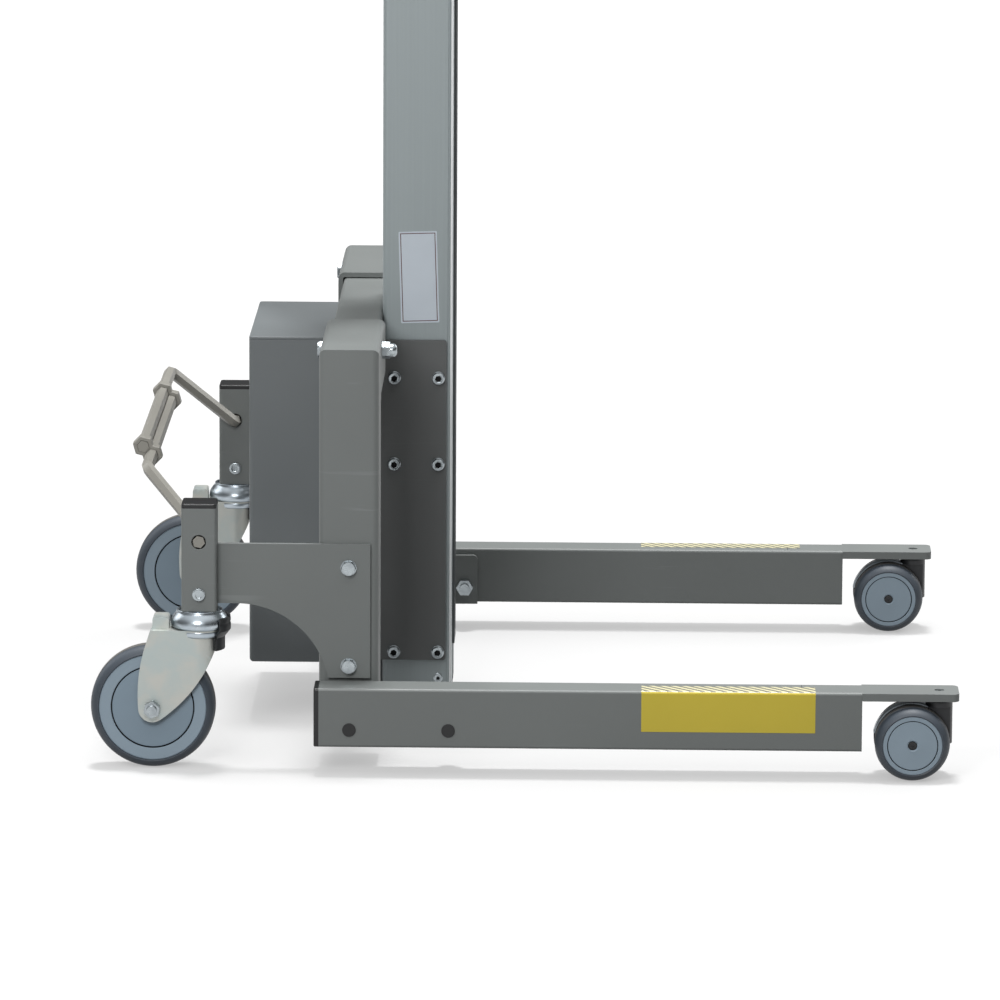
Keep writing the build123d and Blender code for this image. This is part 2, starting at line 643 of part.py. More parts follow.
def handle_grips():
    """Two ribbed rubber sleeves on the rear run of the push bar."""
    grips = []
    for side in (-1, 1):
        mid = side * (HANDLE_HALF_W * 0.5)
        sleeve = Cylinder(HANDLE_D / 2 + GRIP_T, GRIP_L)
        sleeve = fillet(sleeve.edges(), 2)
        for index in range(5):
            z = -GRIP_L / 2 + GRIP_L * (index + 1) / 6
            groove = Cylinder(HANDLE_D / 2 + GRIP_T + 1, 3) - Cylinder(HANDLE_D / 2 + GRIP_T - 1.2, 4)
            sleeve -= Pos(0, 0, z) * groove
        sleeve -= Cylinder(HANDLE_D / 2 + 0.05, GRIP_L * 2)
        grips.append(Pos(HANDLE_REAR_X, mid, HANDLE_REAR_Z) * Rot(90, 0, 0) * sleeve)
    return group(grips)


def control_plane(y, up):
    """Plane on the sloping face of the control box, its normal pointing out to the operator."""
    slope = math.radians(CONTROL_SLOPE)
    low_z = CONTROL_Z - CONTROL_H / 2 + CONTROL_FOOT
    origin = (CONTROL_FACE_X + up * math.sin(slope), y, low_z + up * math.cos(slope))
    return Plane(origin, x_dir=(0, -1, 0), z_dir=(-math.cos(slope), 0, math.sin(slope)))


def control_box():
    """Moulded control housing on the back of the mast, with wells for its buttons."""
    slope = math.radians(CONTROL_SLOPE)
    z0 = CONTROL_Z - CONTROL_H / 2
    z1 = CONTROL_Z + CONTROL_H / 2
    top_x = CONTROL_FACE_X + (CONTROL_H - CONTROL_FOOT) * math.tan(slope)
    outline = [
        (MAST_REAR_X, z0),
        (MAST_REAR_X, z1),
        (top_x, z1),
        (CONTROL_FACE_X, z0 + CONTROL_FOOT),
        (CONTROL_FACE_X + 12, z0),
    ]
    box = flat_plate(outline, -CONTROL_W / 2, CONTROL_W / 2)
    box = fillet(box.edges().filter_by(Axis.Y).group_by(Axis.X)[0], 5)
    box = chamfer(box.faces().sort_by(Axis.Y)[0].edges(), 1.5)
    box = chamfer(box.faces().sort_by(Axis.Y)[-1].edges(), 1.5)
    for y, up, size in BUTTONS.values():
        well = Pos(0, 0, -BUTTON_DEPTH / 2) * Cylinder(size / 2 + SEAT_GAP, BUTTON_DEPTH + 0.02)
        box -= control_plane(y, up) * well
    return box


def push_button(name):
    """Round push button that stands proud of the control housing by more than its travel."""
    y, up, size = BUTTONS[name]
    place = control_plane(y, up)
    stroke = BUTTON_TRAVEL + 1
    stem = Pos(0, 0, (stroke - BUTTON_DEPTH) / 2) * Cylinder(size / 2, BUTTON_DEPTH - stroke)
    if name == "stop_button":
        head = Pos(0, 0, 9) * Cylinder(16, 7)
        head = fillet(head.edges().sort_by(Axis.Z)[-1], 2.5)
        neck = Pos(0, 0, 2.75) * Cylinder(size / 2 - 2, 9.5)
        return place * (stem + neck + head)
    top = Pos(0, 0, stroke / 2) * Cylinder(size / 2, stroke)
    top = fillet(top.edges().sort_by(Axis.Z)[-1], 1.5)
    return place * (stem + top)


# Side frame pieces, drawn on the right-hand side

def sleeve():
    """Square sleeve round the cross beam; its closed end carries the column's corners up to the top."""
    start = Plane((TUBE_X, -COLUMN_OUTER_Y, SLEEVE_Z), x_dir=(1, 0, 0), z_dir=(0, 1, 0))
    length = COLUMN_OUTER_Y - SLEEVE_INNER_Y
    joint = Plane((TUBE_X, -COLUMN_OUTER_Y + TUBE_S, SLEEVE_Z), x_dir=(1, 0, 0), z_dir=(0, 1, 0))
    tube = extrude(joint * RectangleRounded(TUBE_S, TUBE_S, TUBE_CORNER_R), amount=length - TUBE_S)
    end = span(TUBE_X - TUBE_S / 2, TUBE_X + TUBE_S / 2, -COLUMN_OUTER_Y, -COLUMN_OUTER_Y + TUBE_S,
               SLEEVE_BOTTOM_Z, SLEEVE_TOP_Z)
    uprights = end.edges().filter_by(Axis.Z).group_by(Axis.Y)[0]
    end = fillet(uprights + end.edges().filter_by(Axis.Y).group_by(Axis.Z)[-1], TUBE_CORNER_R)
    bore_s = TUBE_S - 2 * SLEEVE_WALL
    bore = extrude(start * RectangleRounded(bore_s, bore_s, TUBE_CORNER_R - SLEEVE_WALL), amount=length + 1)
    bore &= span(TUBE_X - TUBE_S, TUBE_X + TUBE_S, -COLUMN_OUTER_Y + COLUMN_WALL, 0, 0, SLEEVE_TOP_Z)
    body = tube + end - bore
    for side in (-1, 1):
        face = TUBE_X + side * TUBE_S / 2
        body -= rod_x(-CLAMP_Y, CLAMP_Z, face - 8, face + 8, CLAMP_D / 2 + HOLE_GAP)
    return body


def column():
    """Upright square tube under the sleeve, with the foot plate that the leg bolts to."""
    start = Plane((TUBE_X, -COLUMN_Y, COLUMN_BOTTOM_Z), x_dir=(1, 0, 0), z_dir=(0, 0, 1))
    tube = tube_along(start, TUBE_S, TUBE_S, TUBE_CORNER_R, COLUMN_WALL, SLEEVE_BOTTOM_Z - COLUMN_BOTTOM_Z)
    top = LEG_TOP_Z - 7
    outline = [
        (TUBE_X - TUBE_S / 2, COLUMN_BOTTOM_Z),
        (FOOT_FRONT_X - 27, COLUMN_BOTTOM_Z),
        (FOOT_FRONT_X - 14, LEG_BOTTOM_Z - 1),
        (FOOT_FRONT_X, LEG_BOTTOM_Z - 1),
        (FOOT_FRONT_X, top),
        (TUBE_X - TUBE_S / 2, top),
    ]
    foot = flat_plate(outline, -LEG_INNER_Y, -COLUMN_OUTER_Y)
    corner = foot.edges().filter_by(Axis.Y).group_by(Axis.X)[-1].sort_by(Axis.Z)[-1]
    foot = fillet(corner, 5)
    body = tube + foot
    for z in ARM_BOLT_ZS:
        body -= rod_y(TUBE_X, z, -LEG_INNER_Y - 1, -COLUMN_OUTER_Y + COLUMN_WALL + 1, BOLT_D / 2 + HOLE_GAP)
    for x in LEG_BOLT_XS:
        body -= rod_y(x, LEG_BOLT_Z, -LEG_INNER_Y - 1, -COLUMN_OUTER_Y + COLUMN_WALL + 1,
                      LEG_BOLT_D / 2 + HOLE_GAP)
    return body


def castor_arm():
    """Flat arm from the column back to the castor tube, cut away below by one curve."""
    tube_face = REAR_STEM_X + ARM_TUBE_S / 2
    centre_x = tube_face + 19.4
    centre_z = ARM_LOW_Z - ARM_CURVE_R
    end_angle = math.asin((ARM_BOTTOM_Z - centre_z) / ARM_CURVE_R)
    mid_angle = (math.pi / 2 + end_angle) / 2

    def on_curve(angle):
        return (centre_x + ARM_CURVE_R * math.cos(angle), centre_z + ARM_CURVE_R * math.sin(angle))

    edges = [
        Line((centre_x, ARM_LOW_Z), (tube_face, ARM_LOW_Z)),
        Line((tube_face, ARM_LOW_Z), (tube_face, ARM_TOP_Z)),
        Line((tube_face, ARM_TOP_Z), (ARM_FRONT_X, ARM_TOP_Z)),
        Line((ARM_FRONT_X, ARM_TOP_Z), (ARM_FRONT_X, ARM_BOTTOM_Z)),
        Line((ARM_FRONT_X, ARM_BOTTOM_Z), on_curve(end_angle)),
        ThreePointArc(on_curve(end_angle), on_curve(mid_angle), (centre_x, ARM_LOW_Z)),
    ]
    face = make_face([Plane.XZ * edge for edge in edges])
    arm = Pos(0, -COLUMN_OUTER_Y, 0) * extrude(face, amount=ARM_PLATE_T, dir=(0, -1, 0))
    for z in ARM_BOLT_ZS:
        arm -= rod_y(TUBE_X, z, -LEG_INNER_Y - 1, -COLUMN_OUTER_Y + 1, BOLT_D / 2 + HOLE_GAP)
    return arm


def castor_tube():
    """Upright tube that holds the rear castor and lets the brake bar through."""
    start = Plane((REAR_STEM_X, -REAR_Y, ARM_TUBE_BOTTOM_Z), x_dir=(1, 0, 0), z_dir=(0, 0, 1))
    tube = tube_along(start, ARM_TUBE_S, ARM_TUBE_S, 3.2, ARM_TUBE_WALL, ARM_TUBE_TOP_Z - ARM_TUBE_BOTTOM_Z)
    return tube - rod_y(REAR_STEM_X, BRAKE_Z, -REAR_Y - ARM_TUBE_S, -REAR_Y + ARM_TUBE_S, BRAKE_HOLE_D / 2)


def pinch_hole(tube_y):
    """Clearance for the pinch screw, from the right-hand face of a castor tube into the spigot."""
    face = tube_y - ARM_TUBE_S / 2
    return rod_y(REAR_STEM_X, PINCH_SCREW_Z, face - 1, face + ARM_TUBE_S / 3, BOLT_D / 2 + HOLE_GAP)


def pinch_screw(tube_y):
    """Socket screw that holds the spigot, in the right-hand face of either castor tube."""
    place = facing_right(REAR_STEM_X, tube_y - ARM_TUBE_S / 2, PINCH_SCREW_Z)
    return place * socket_screw(BOLT_D, ARM_TUBE_WALL + 3, 12.2, 3.2)


def leg_tube():
    """Floor leg, with access holes outside and bolt holes inside."""
    start = Plane((LEG_REAR_X, -LEG_Y, LEG_BOTTOM_Z + LEG_H / 2), x_dir=(0, 1, 0), z_dir=(1, 0, 0))
    tube = tube_along(start, LEG_W, LEG_H, LEG_CORNER_R, LEG_WALL, LEG_FRONT_X - LEG_REAR_X)
    for x in LEG_BOLT_XS:
        tube -= rod_y(x, LEG_BOLT_Z, -LEG_Y - LEG_W, -LEG_Y, PLUG_D / 2)
        tube -= rod_y(x, LEG_BOLT_Z, -LEG_Y, -LEG_INNER_Y + 1, LEG_BOLT_D / 2 + HOLE_GAP)
    notch_half = LEG_W / 2 - LEG_WALL
    return tube - span(LEG_FRONT_X - NOSE_TONGUE - SEAT_GAP, LEG_FRONT_X + 1, -LEG_Y - notch_half,
                       -LEG_Y + notch_half, LEG_TOP_Z - LEG_WALL - 1, LEG_TOP_Z + 1)


def leg_nose():
    """Thick plate let flush into the top of the leg, carrying the front castor, with the end plate."""
    z0 = NOSE_TOP_Z - NOSE_T
    inner_w = LEG_W - 2 * LEG_WALL - 2 * SEAT_GAP
    tongue = span(LEG_FRONT_X - NOSE_TONGUE, LEG_FRONT_X + 1, -LEG_Y - inner_w / 2, -LEG_Y + inner_w / 2,
                  z0, NOSE_TOP_Z)
    plate = span(LEG_FRONT_X, NOSE_FRONT_X, -LEG_Y - NOSE_W / 2, -LEG_Y + NOSE_W / 2, z0, NOSE_TOP_Z)
    front = plate.edges().filter_by(Axis.Z).group_by(Axis.X)[-1]
    plate = fillet(front, NOSE_CORNER_R)
    end = span(LEG_FRONT_X - LEG_WALL, LEG_FRONT_X, -LEG_Y - inner_w / 2, -LEG_Y + inner_w / 2,
               LEG_BOTTOM_Z + LEG_WALL + SEAT_GAP, z0)
    return plate + tongue + end - rod_z(FRONT_STEM_X, -LEG_Y, z0 - 1, NOSE_TOP_Z + 1, FRONT_STEM_D / 2)


def plastic_plugs():
    """Leg end cap, castor tube cap and the two access hole plugs."""
    cap_plane = Plane((LEG_REAR_X, -LEG_Y, LEG_BOTTOM_Z + LEG_H / 2), x_dir=(0, -1, 0), z_dir=(-1, 0, 0))
    end_cap = extrude(cap_plane * RectangleRounded(LEG_W, LEG_H, LEG_CORNER_R), amount=LEG_CAP_T)
    end_cap = fillet(end_cap.faces().sort_by(Axis.X)[0].edges(), 1.5)
    inner = RectangleRounded(LEG_W - 2 * LEG_WALL - 2 * SEAT_GAP, LEG_H - 2 * LEG_WALL - 2 * SEAT_GAP, 1)
    end_cap += extrude(cap_plane * inner, amount=-9)
    tube_top = Pos(REAR_STEM_X, -REAR_Y, ARM_TUBE_TOP_Z)
    tube_cap = extrude(tube_top * RectangleRounded(ARM_TUBE_S, ARM_TUBE_S, 3.2), amount=ARM_CAP_T)
    tube_cap = fillet(tube_cap.faces().sort_by(Axis.Z)[-1].edges(), 1.5)
    plug_side = ARM_TUBE_S - 2 * ARM_TUBE_WALL - 2 * SEAT_GAP
    tube_cap += extrude(tube_top * Rectangle(plug_side, plug_side), amount=-12)
    pieces = [end_cap, tube_cap]
    for x in LEG_BOLT_XS:
        outer = -LEG_Y - LEG_W / 2
        head = rod_y(x, LEG_BOLT_Z, outer - 0.8, outer, PLUG_D / 2 + 0.8)
        pieces.append(head + rod_y(x, LEG_BOLT_Z, outer, outer + LEG_WALL + 2, PLUG_D / 2 - 0.2))
    return group(pieces)


def frame_bolts():
    """Every bolt of one side frame but its pinch screw."""
    outer = -LEG_INNER_Y
    pieces = []
    for z in ARM_BOLT_ZS:
        pieces.append(facing_right(TUBE_X, outer, z) * washer(BOLT_D + 0.4, 16, 1.6))
        bolt = hex_bolt(BOLT_D, 1.6 + ARM_PLATE_T + COLUMN_WALL + 6, 13, 5.3)
        pieces.append(facing_right(TUBE_X, outer - 1.6, z) * bolt)
    wall_in = outer - LEG_WALL
    depths = (FOOT_PLATE_T + COLUMN_WALL, FOOT_PLATE_T)
    for x, depth in zip(LEG_BOLT_XS, depths):
        pieces.append(facing_right(x, wall_in, LEG_BOLT_Z) * hex_bolt(LEG_BOLT_D, LEG_WALL + depth + 11, 16, 6))
        nut_at = outer + depth
        nut = Pos(0, 0, 4) * (hex_prism(16, 8) - Cylinder(LEG_BOLT_D / 2 + 0.05, 20))
        pieces.append(facing_left(x, nut_at, LEG_BOLT_Z) * nut)
    dome_h = CLAMP_D * 0.7
    dome = Pos(0, 0, dome_h / 2) * Cylinder(dome_h, dome_h)
    dome = fillet(dome.edges().sort_by(Axis.Z)[-1], dome_h * 0.6)
    shank_l = SLEEVE_WALL + 8 + SLIDE_GAP - SEAT_GAP
    clamp = dome + Pos(0, 0, -shank_l / 2) * Cylinder(CLAMP_D / 2, shank_l)
    lock_nut = Pos(0, 0, 4) * (hex_prism(15, 8) - Cylinder(CLAMP_D / 2 + 0.05, 20))
    front = Pos(TUBE_X + TUBE_S / 2, -CLAMP_Y, CLAMP_Z) * Rot(0, 90, 0)
    pieces.append(front * lock_nut)
    pieces.append(front * Pos(0, 0, 8) * clamp)
    rear = Pos(TUBE_X - TUBE_S / 2, -CLAMP_Y, CLAMP_Z) * Rot(0, -90, 0)
    pieces.append(rear * hex_bolt(CLAMP_D, SLEEVE_WALL + SLIDE_GAP - SEAT_GAP, 15, 5))
    z0 = NOSE_TOP_Z - NOSE_T
    stem = rod_z(FRONT_STEM_X, -LEG_Y, FRONT_R + 12, NOSE_TOP_Z - 1.5, FRONT_STEM_D / 2 - 0.05)
    stem -= Pos(FRONT_STEM_X, -LEG_Y, NOSE_TOP_Z - 2.5) * hex_prism(5, 5)
    pieces.append(stem + rod_z(FRONT_STEM_X, -LEG_Y, z0 - 1.2, z0, FRONT_STEM_D / 2 + 4))
    return group(pieces)


# Rear castor

def rear_castor_head():
    """Fixed upper race of the castor, with the spigot held in the tube."""
    z = HEAD_BOTTOM_Z
    r = REAR_HEAD_D / 2
    top = ARM_TUBE_BOTTOM_Z
    outline = [
        (0, z), (r * 0.90, z), (r * 0.98, z + 1.6), (r, z + 4), (r * 0.95, z + 10.3), (r * 0.88, z + 13.8),
        (r * 0.81, z + 16.3), (r * 0.79, top), (r * 0.70, top), (r * 0.68, top - 2), (0, top - 2),
    ]
    profile = make_face(Plane.XZ * Polyline(*outline, close=True))
    head = revolve(profile, axis=Axis.Z)
    kingpin = rod_z(0, 0, z - KINGPIN_L, z + 1, KINGPIN_D / 2)
    spigot = rod_z(0, 0, z + REAR_HEAD_H - 5, PINCH_SCREW_Z + 17, REAR_SPIGOT_D / 2)
    spigot = chamfer(spigot.edges().sort_by(Axis.Z)[-1], 1.5)
    return Pos(REAR_STEM_X, -REAR_Y, 0) * (head + spigot + kingpin)


def castor_cover():
    """Ribbed plastic cover round the front of the swivel, turning with the fork."""
    z = HEAD_BOTTOM_Z
    race_r = LOWER_RACE_D / 2 + SEAT_GAP
    head_r = REAR_HEAD_D / 2 + HOLE_GAP
    skirt_r = FORK_HALF_W - 1.1
    under_race = FORK_TOP_Z - LOWER_RACE_H - HOLE_GAP
    outline = [
        (skirt_r, COVER_BOTTOM_Z), (skirt_r, under_race), (race_r, under_race), (race_r, z - 3.5),
        (head_r, z + 1.1), (head_r, z + 12.3), (head_r + 1.2, z + 12.3), (head_r + 1.6, z + 7.5),
        (head_r + 1.0, z + 6.0), (head_r + 1.7, z + 3.5), (head_r + 1.6, z - 1.5), (race_r + 2.4, z - 6.5),
        (skirt_r + 4.8, z - 8.5), (skirt_r + 4.8, COVER_BOTTOM_Z),
    ]
    profile = make_face(Plane.XZ * Polyline(*outline, close=True))
    return Rot(0, 0, -COVER_HALF_ANGLE) * revolve(profile, axis=Axis.Z, revolution_arc=2 * COVER_HALF_ANGLE)


def rear_fork():
    """Pressed fork: one sheet bent round the front of the stem, with two tapering cheeks and a crown."""
    axle_u = -REAR_TRAIL
    top = FORK_TOP_Z
    side = FORK_HALF_W
    front_u = REAR_HEAD_D * 0.33
    rear_u = axle_u - 1
    bend_x = front_u - side
    low = REAR_R - FORK_TIP_R - 1
    rear_end = rear_u - FORK_TIP_R

    def bent_sheet(half_w, end_u):
        straight = Pos((end_u + bend_x) / 2, 0) * Rectangle(bend_x - end_u, 2 * half_w)
        return straight + Pos(bend_x, 0) * Circle(half_w)

    plan = bent_sheet(side, rear_end)
    hollow = bent_sheet(side - FORK_PLATE_T, rear_end - 1)
    shell = extrude(Pos(0, 0, low) * plan, amount=top - low)
    shell -= extrude(Pos(0, 0, low - 1) * hollow, amount=top - FORK_CROWN_T - low + 1)
    tip_angle = math.radians(40)
    tip_front = (axle_u + FORK_TIP_R * math.sin(tip_angle), REAR_R - FORK_TIP_R * math.cos(tip_angle))
    low_angle = math.radians(-25)
    tip_low = (axle_u + FORK_TIP_R * math.sin(low_angle), REAR_R - FORK_TIP_R * math.cos(low_angle))
    front_top = (front_u + 1, top - 8)
    front_mid = ((tip_front[0] + front_top[0]) / 2 + 7.0, (tip_front[1] + front_top[1]) / 2 - 5.1)
    rear_low = (axle_u - FORK_TIP_R, REAR_R)
    rear_mid = (axle_u - FORK_TIP_R + 2.6, (top + REAR_R) / 2 + 6)
    edges = [
        ThreePointArc((rear_u, top), rear_mid, rear_low),
        ThreePointArc(rear_low, tip_low, tip_front),
        ThreePointArc(tip_front, front_mid, front_top),
        Line(front_top, (front_top[0], top)),
        Line((front_top[0], top), (rear_u, top)),
    ]
    profile = make_face([Plane.XZ * edge for edge in edges])
    fork = shell & (Pos(0, side + 1, 0) * extrude(profile, amount=2 * side + 2, dir=(0, -1, 0)))
    race = rod_z(0, 0, top - LOWER_RACE_H, top, LOWER_RACE_D / 2)
    race = fillet(race.edges().sort_by(Axis.Z)[0], LOWER_RACE_H * 0.55)
    pad = span(rear_u + 1, -REAR_HEAD_D / 2 - 1.2, -13, 13, top - 1, top + 12)
    pad = fillet(pad.edges().filter_by(Axis.Y).group_by(Axis.Z)[-1], 3)
    fork = fork + race + pad
    fork -= rod_y(axle_u, REAR_R, -side - 1, side + 1, REAR_AXLE_D / 2 + 0.1)
    fork -= rod_z(0, 0, top - 20, top + 1, KINGPIN_D / 2 + WHEEL_FIT)
    return Pos(REAR_STEM_X, -REAR_Y, 0) * group([fork, castor_cover()])


def rear_axle():
    """Axle bolt with a hexagon head inside and a nut outside."""
    x = REAR_WHEEL_X
    side = FORK_HALF_W
    shank = rod_y(x, REAR_R, -REAR_Y - side - 11, -REAR_Y + side, REAR_AXLE_D / 2)
    nut = Pos(x, -REAR_Y - side - 4, REAR_R) * Rot(90, 0, 20) * hex_prism(15, 8)
    head = Pos(x, -REAR_Y + side + 3, REAR_R) * Rot(90, 0, 0) * hex_prism(15, 6)
    spacers = []
    for direction in (-1, 1):
        y0 = -REAR_Y + direction * (REAR_WHEEL_W / 2 + SEAT_GAP)
        y1 = -REAR_Y + direction * (side - FORK_PLATE_T)
        spacers.append(rod_y(x, REAR_R, y0, y1, REAR_AXLE_D / 2 + 3))
    return shank + nut + head + spacers[0] + spacers[1]


def hub_section(hub_r, half_w, bore_r, dish):
    """Half section of a wheel centre with a dished disc on both sides."""
    return [
        (bore_r, -half_w), (bore_r + 8, -half_w), (bore_r + 10, -half_w + dish), (hub_r * 0.76, -half_w + dish),
        (hub_r * 0.78, -half_w * 0.86 + 0.4), (hub_r, -half_w * 0.86), (hub_r, half_w * 0.86),
        (hub_r * 0.78, half_w * 0.86 - 0.4), (hub_r * 0.76, half_w - dish), (bore_r + 10, half_w - dish),
        (bore_r + 8, half_w), (bore_r, half_w),
    ]


def shoulder(radius, lip_r, half_w, edge, side):
    """Side wall of a tyre and the arc that runs on into its tread."""
    across = half_w - side * edge
    drop = min(radius - lip_r, across)
    arc_r = (drop**2 + across**2) / (2 * drop)
    middle = math.atan2(drop, across)
    start = (radius - drop, side * half_w)
    via = (radius - arc_r * (1 - math.cos(middle)), edge + side * arc_r * math.sin(middle))
    arc = ThreePointArc(start, via, (radius, edge))
    return [arc] if drop == radius - lip_r else [arc, Line((lip_r, side * half_w), start)]


def wheel(radius, hub_r, half_w, bore_r, dish, tread):
    """Tyre and hub as two solids turning about Y; tread is where the running face starts and ends in Y."""
    lip_r = hub_r + 1.2
    seat = half_w * 0.86
    low, high = tread
    tyre_edges = [
        Line((hub_r, -seat), (hub_r, seat)),
        Line((hub_r, seat), (lip_r, half_w)),
        Line((hub_r, -seat), (lip_r, -half_w)),
        Line((radius, low), (radius, high)),
        *shoulder(radius, lip_r, half_w, high, 1),
        *shoulder(radius, lip_r, half_w, low, -1),
    ]
    tyre = revolve(make_face(tyre_edges), axis=Axis.Y)
    hub = revolve(make_face(Polyline(*hub_section(hub_r, half_w, bore_r, dish), close=True)), axis=Axis.Y)
    return tyre, hub


def rear_wheel():
    half_w = REAR_WHEEL_W / 2
    tread = (-half_w * 0.35, half_w * 0.35)
    tyre, hub = wheel(REAR_R, REAR_HUB_D / 2, half_w, REAR_AXLE_D / 2 + WHEEL_FIT, 2.5, tread)
    place = Pos(REAR_WHEEL_X, -REAR_Y, REAR_R)
    return group([place * tyre, place * hub])


# Front castor

def front_castor_body():
    """Plastic body between the twin wheels, with the swivel boss, a mudguard rib and the axle."""
    u = -FRONT_TRAIL
    z_top = NOSE_TOP_Z - NOSE_T - 1.2 - SEAT_GAP
    half = FRONT_BODY_W / 2
    boss = rod_z(0, 0, FRONT_R - 2, z_top, FRONT_BOSS_D / 2)
    boss = fillet(boss.edges().sort_by(Axis.Z)[-1], 1.5)
    over_wheel_z = FRONT_R + math.sqrt(FRONT_R**2 - (FRONT_TRAIL - FRONT_BOSS_D / 2) ** 2) + SEAT_GAP
    boss &= span(-40, 40, -half, half, 0, z_top) + span(-40, 40, -40, 40, over_wheel_z, z_top)
    rib = rod_y(u, FRONT_R, -half, half, FRONT_R - 2)
    rib &= span(u - FRONT_R, FRONT_BOSS_D / 2, -half, half, FRONT_R - 14, z_top - 0.5)
    rib -= rod_y(u, FRONT_R, -half - 1, half + 1, 25) - rod_y(u, FRONT_R, -half - 1, half + 1, 11) \
        - span(u, 20, -20, 20, FRONT_R - 12, FRONT_R + 30)
    axle = rod_y(u, FRONT_R, -TWIN_OUTER + 3, TWIN_OUTER - 3, FRONT_AXLE_D / 2)
    body = boss + rib + axle
    body -= rod_z(0, 0, FRONT_R + 12 - SEAT_GAP, z_top + 1, FRONT_STEM_D / 2 - 0.05 + WHEEL_FIT)
    return Pos(FRONT_STEM_X, -LEG_Y, 0) * body


def front_wheel(direction):
    """One of the twin wheels, rounded outside; direction -1 is the outer one on the right-hand leg."""
    half_w = FRONT_WHEEL_W / 2
    tread_out = half_w - FRONT_SHOULDER
    tread = sorted((direction * tread_out, direction * (tread_out - FRONT_TREAD_W)))
    tyre, hub = wheel(FRONT_R, FRONT_HUB_D / 2, half_w, FRONT_AXLE_D / 2 + WHEEL_FIT, 1.2, tread)
    y = -LEG_Y + direction * (TWIN_INNER + half_w)
    place = Pos(FRONT_WHEEL_X, y, FRONT_R)
    return group([place * tyre, place * hub])


# Brake bars

def bar_position(radius):
    """X and Z of a brake bar axis at a given radius from its pivot."""
    angle = math.radians(BAR_ANGLE)
    return REAR_STEM_X - radius * math.cos(angle), BRAKE_Z + radius * math.sin(angle)


def hexagon(across_flats):
    """Hexagon with two of its flats square to the plane's X direction."""
    return Rot(0, 0, 30) * RegularPolygon(across_flats / math.sqrt(3), 6)


def brake_bar(side, radius, end_y):
    """Bent hexagon bar from the tube hole out to the pedal run, with the locking cam in the tube."""
    x, z = bar_position(radius)
    points = [
        (REAR_STEM_X, side * BAR_STUB_END_Y, BRAKE_Z),
        (REAR_STEM_X, side * (REAR_Y - ARM_TUBE_S / 2 - 12), BRAKE_Z),
        (x, side * BAR_BEND_Y, z),
        (x, end_y, z),
    ]
    path = FilletPolyline(*points, radius=BAR_BEND_R)
    radial = (x - REAR_STEM_X, 0, z - BRAKE_Z)
    start = Plane(origin=path @ 0, x_dir=radial, z_dir=path % 0)
    bar = sweep(start * hexagon(BAR_AF), path=path)
    cam = rod_y(REAR_STEM_X, BRAKE_Z, side * (REAR_Y - CAM_W / 2), side * (REAR_Y + CAM_W / 2), CAM_D / 2)
    flat = span(REAR_STEM_X - CAM_D, REAR_STEM_X + CAM_D, side * (REAR_Y - CAM_W), side * (REAR_Y + CAM_W),
                BRAKE_Z - CAM_D, BRAKE_Z - CAM_D / 2 + 3)
    return bar + (cam - flat)


def pedal_holder():
    """Twin hexagon collar at the free end of each bar, which keeps the two side by side."""
    inner_x, inner_z = bar_position(BAR_INNER_R)
    radial = (inner_x - REAR_STEM_X, 0, inner_z - BRAKE_Z)
    collars = []
    for start_y in (BAR_END_RIGHT_Y, BAR_END_LEFT_Y - COLLAR_L):
        plane = Plane((inner_x, start_y, inner_z), x_dir=radial, z_dir=(0, 1, 0))
        outside = hexagon(BAR_AF + 2 * COLLAR_WALL)
        collar = extrude(plane * (outside + Pos(BAR_SPACING, 0) * outside), amount=COLLAR_L)
        ends = collar.faces().sort_by(Axis.Y)
        collar = chamfer([*ends[0].edges(), *ends[-1].edges()], COLLAR_WALL / 5)
        bore = hexagon(BAR_AF + 2 * SEAT_GAP)
        for offset in (0, BAR_SPACING):
            collar -= extrude(plane * Pos(offset, 0, -1) * bore, amount=COLLAR_L + 2)
        collars.append(collar)
    return group(collars)


# Assembly

add("cross_beam", cross_beam())
add("mast_profile", mast_profile())
add("guide_rails", guide_rails())
add("mast_cap", mast_cap())
add("mast_foot", mast_foot())
both_sides("mast_plate", mast_plate)
add("mast_screws", mast_screws())
add("drive_pulley", toothed_pulley(DRIVE_Z, SHAFT_D))
add("idler_pulley", toothed_pulley(IDLER_Z, SHAFT_D))
add("drive_belt", drive_belt())
add("gear_motor", gear_motor())
add("idler_axle", idler_axle())
add("carriage_block", carriage_block())
add("guide_shoes", guide_shoes())
add("tool_plate", tool_plate())
add("carriage_screws", carriage_screws())
add("battery_box", battery_box())
add("battery_lid", battery_lid())
add("battery_pack", battery_pack())
add("control_unit", control_unit())
add("handle_bar", handle_bar())
add("handle_grips", handle_grips())
add("control_box", control_box())
for button in BUTTONS:
    add(button, push_button(button))

both_sides("sleeve", sleeve)
both_sides("column", column)
both_sides("castor_arm", castor_arm)
both_sides("leg_tube", leg_tube)
both_sides("leg_nose", leg_nose)
both_sides("plastic_plugs", plastic_plugs)
both_sides("rear_fork", rear_fork)
both_sides("rear_axle", rear_axle)
both_sides("rear_wheel", rear_wheel)
both_sides("front_castor_body", front_castor_body)
both_sides("front_wheel_outer", lambda: front_wheel(-1))
both_sides("front_wheel_inner", lambda: front_wheel(1))

# Both castor tubes have their pinch screw on the right-hand face, so these pieces are not mirror images
for side_name, tube_y in (("_right", -REAR_Y), ("_left", REAR_Y)):
    add("castor_tube" + side_name, handed(castor_tube, tube_y) - pinch_hole(tube_y))
    add("rear_castor_head" + side_name, handed(rear_castor_head, tube_y) - pinch_hole(tube_y))
    add("frame_bolts" + side_name, group([handed(frame_bolts, tube_y), pinch_screw(tube_y)]))

add("brake_bar_right", brake_bar(-1, BAR_INNER_R, BAR_END_LEFT_Y + 1))
add("brake_bar_left", brake_bar(1, BAR_OUTER_R, BAR_END_RIGHT_Y - 1))
add("pedal_holder", pedal_holder())

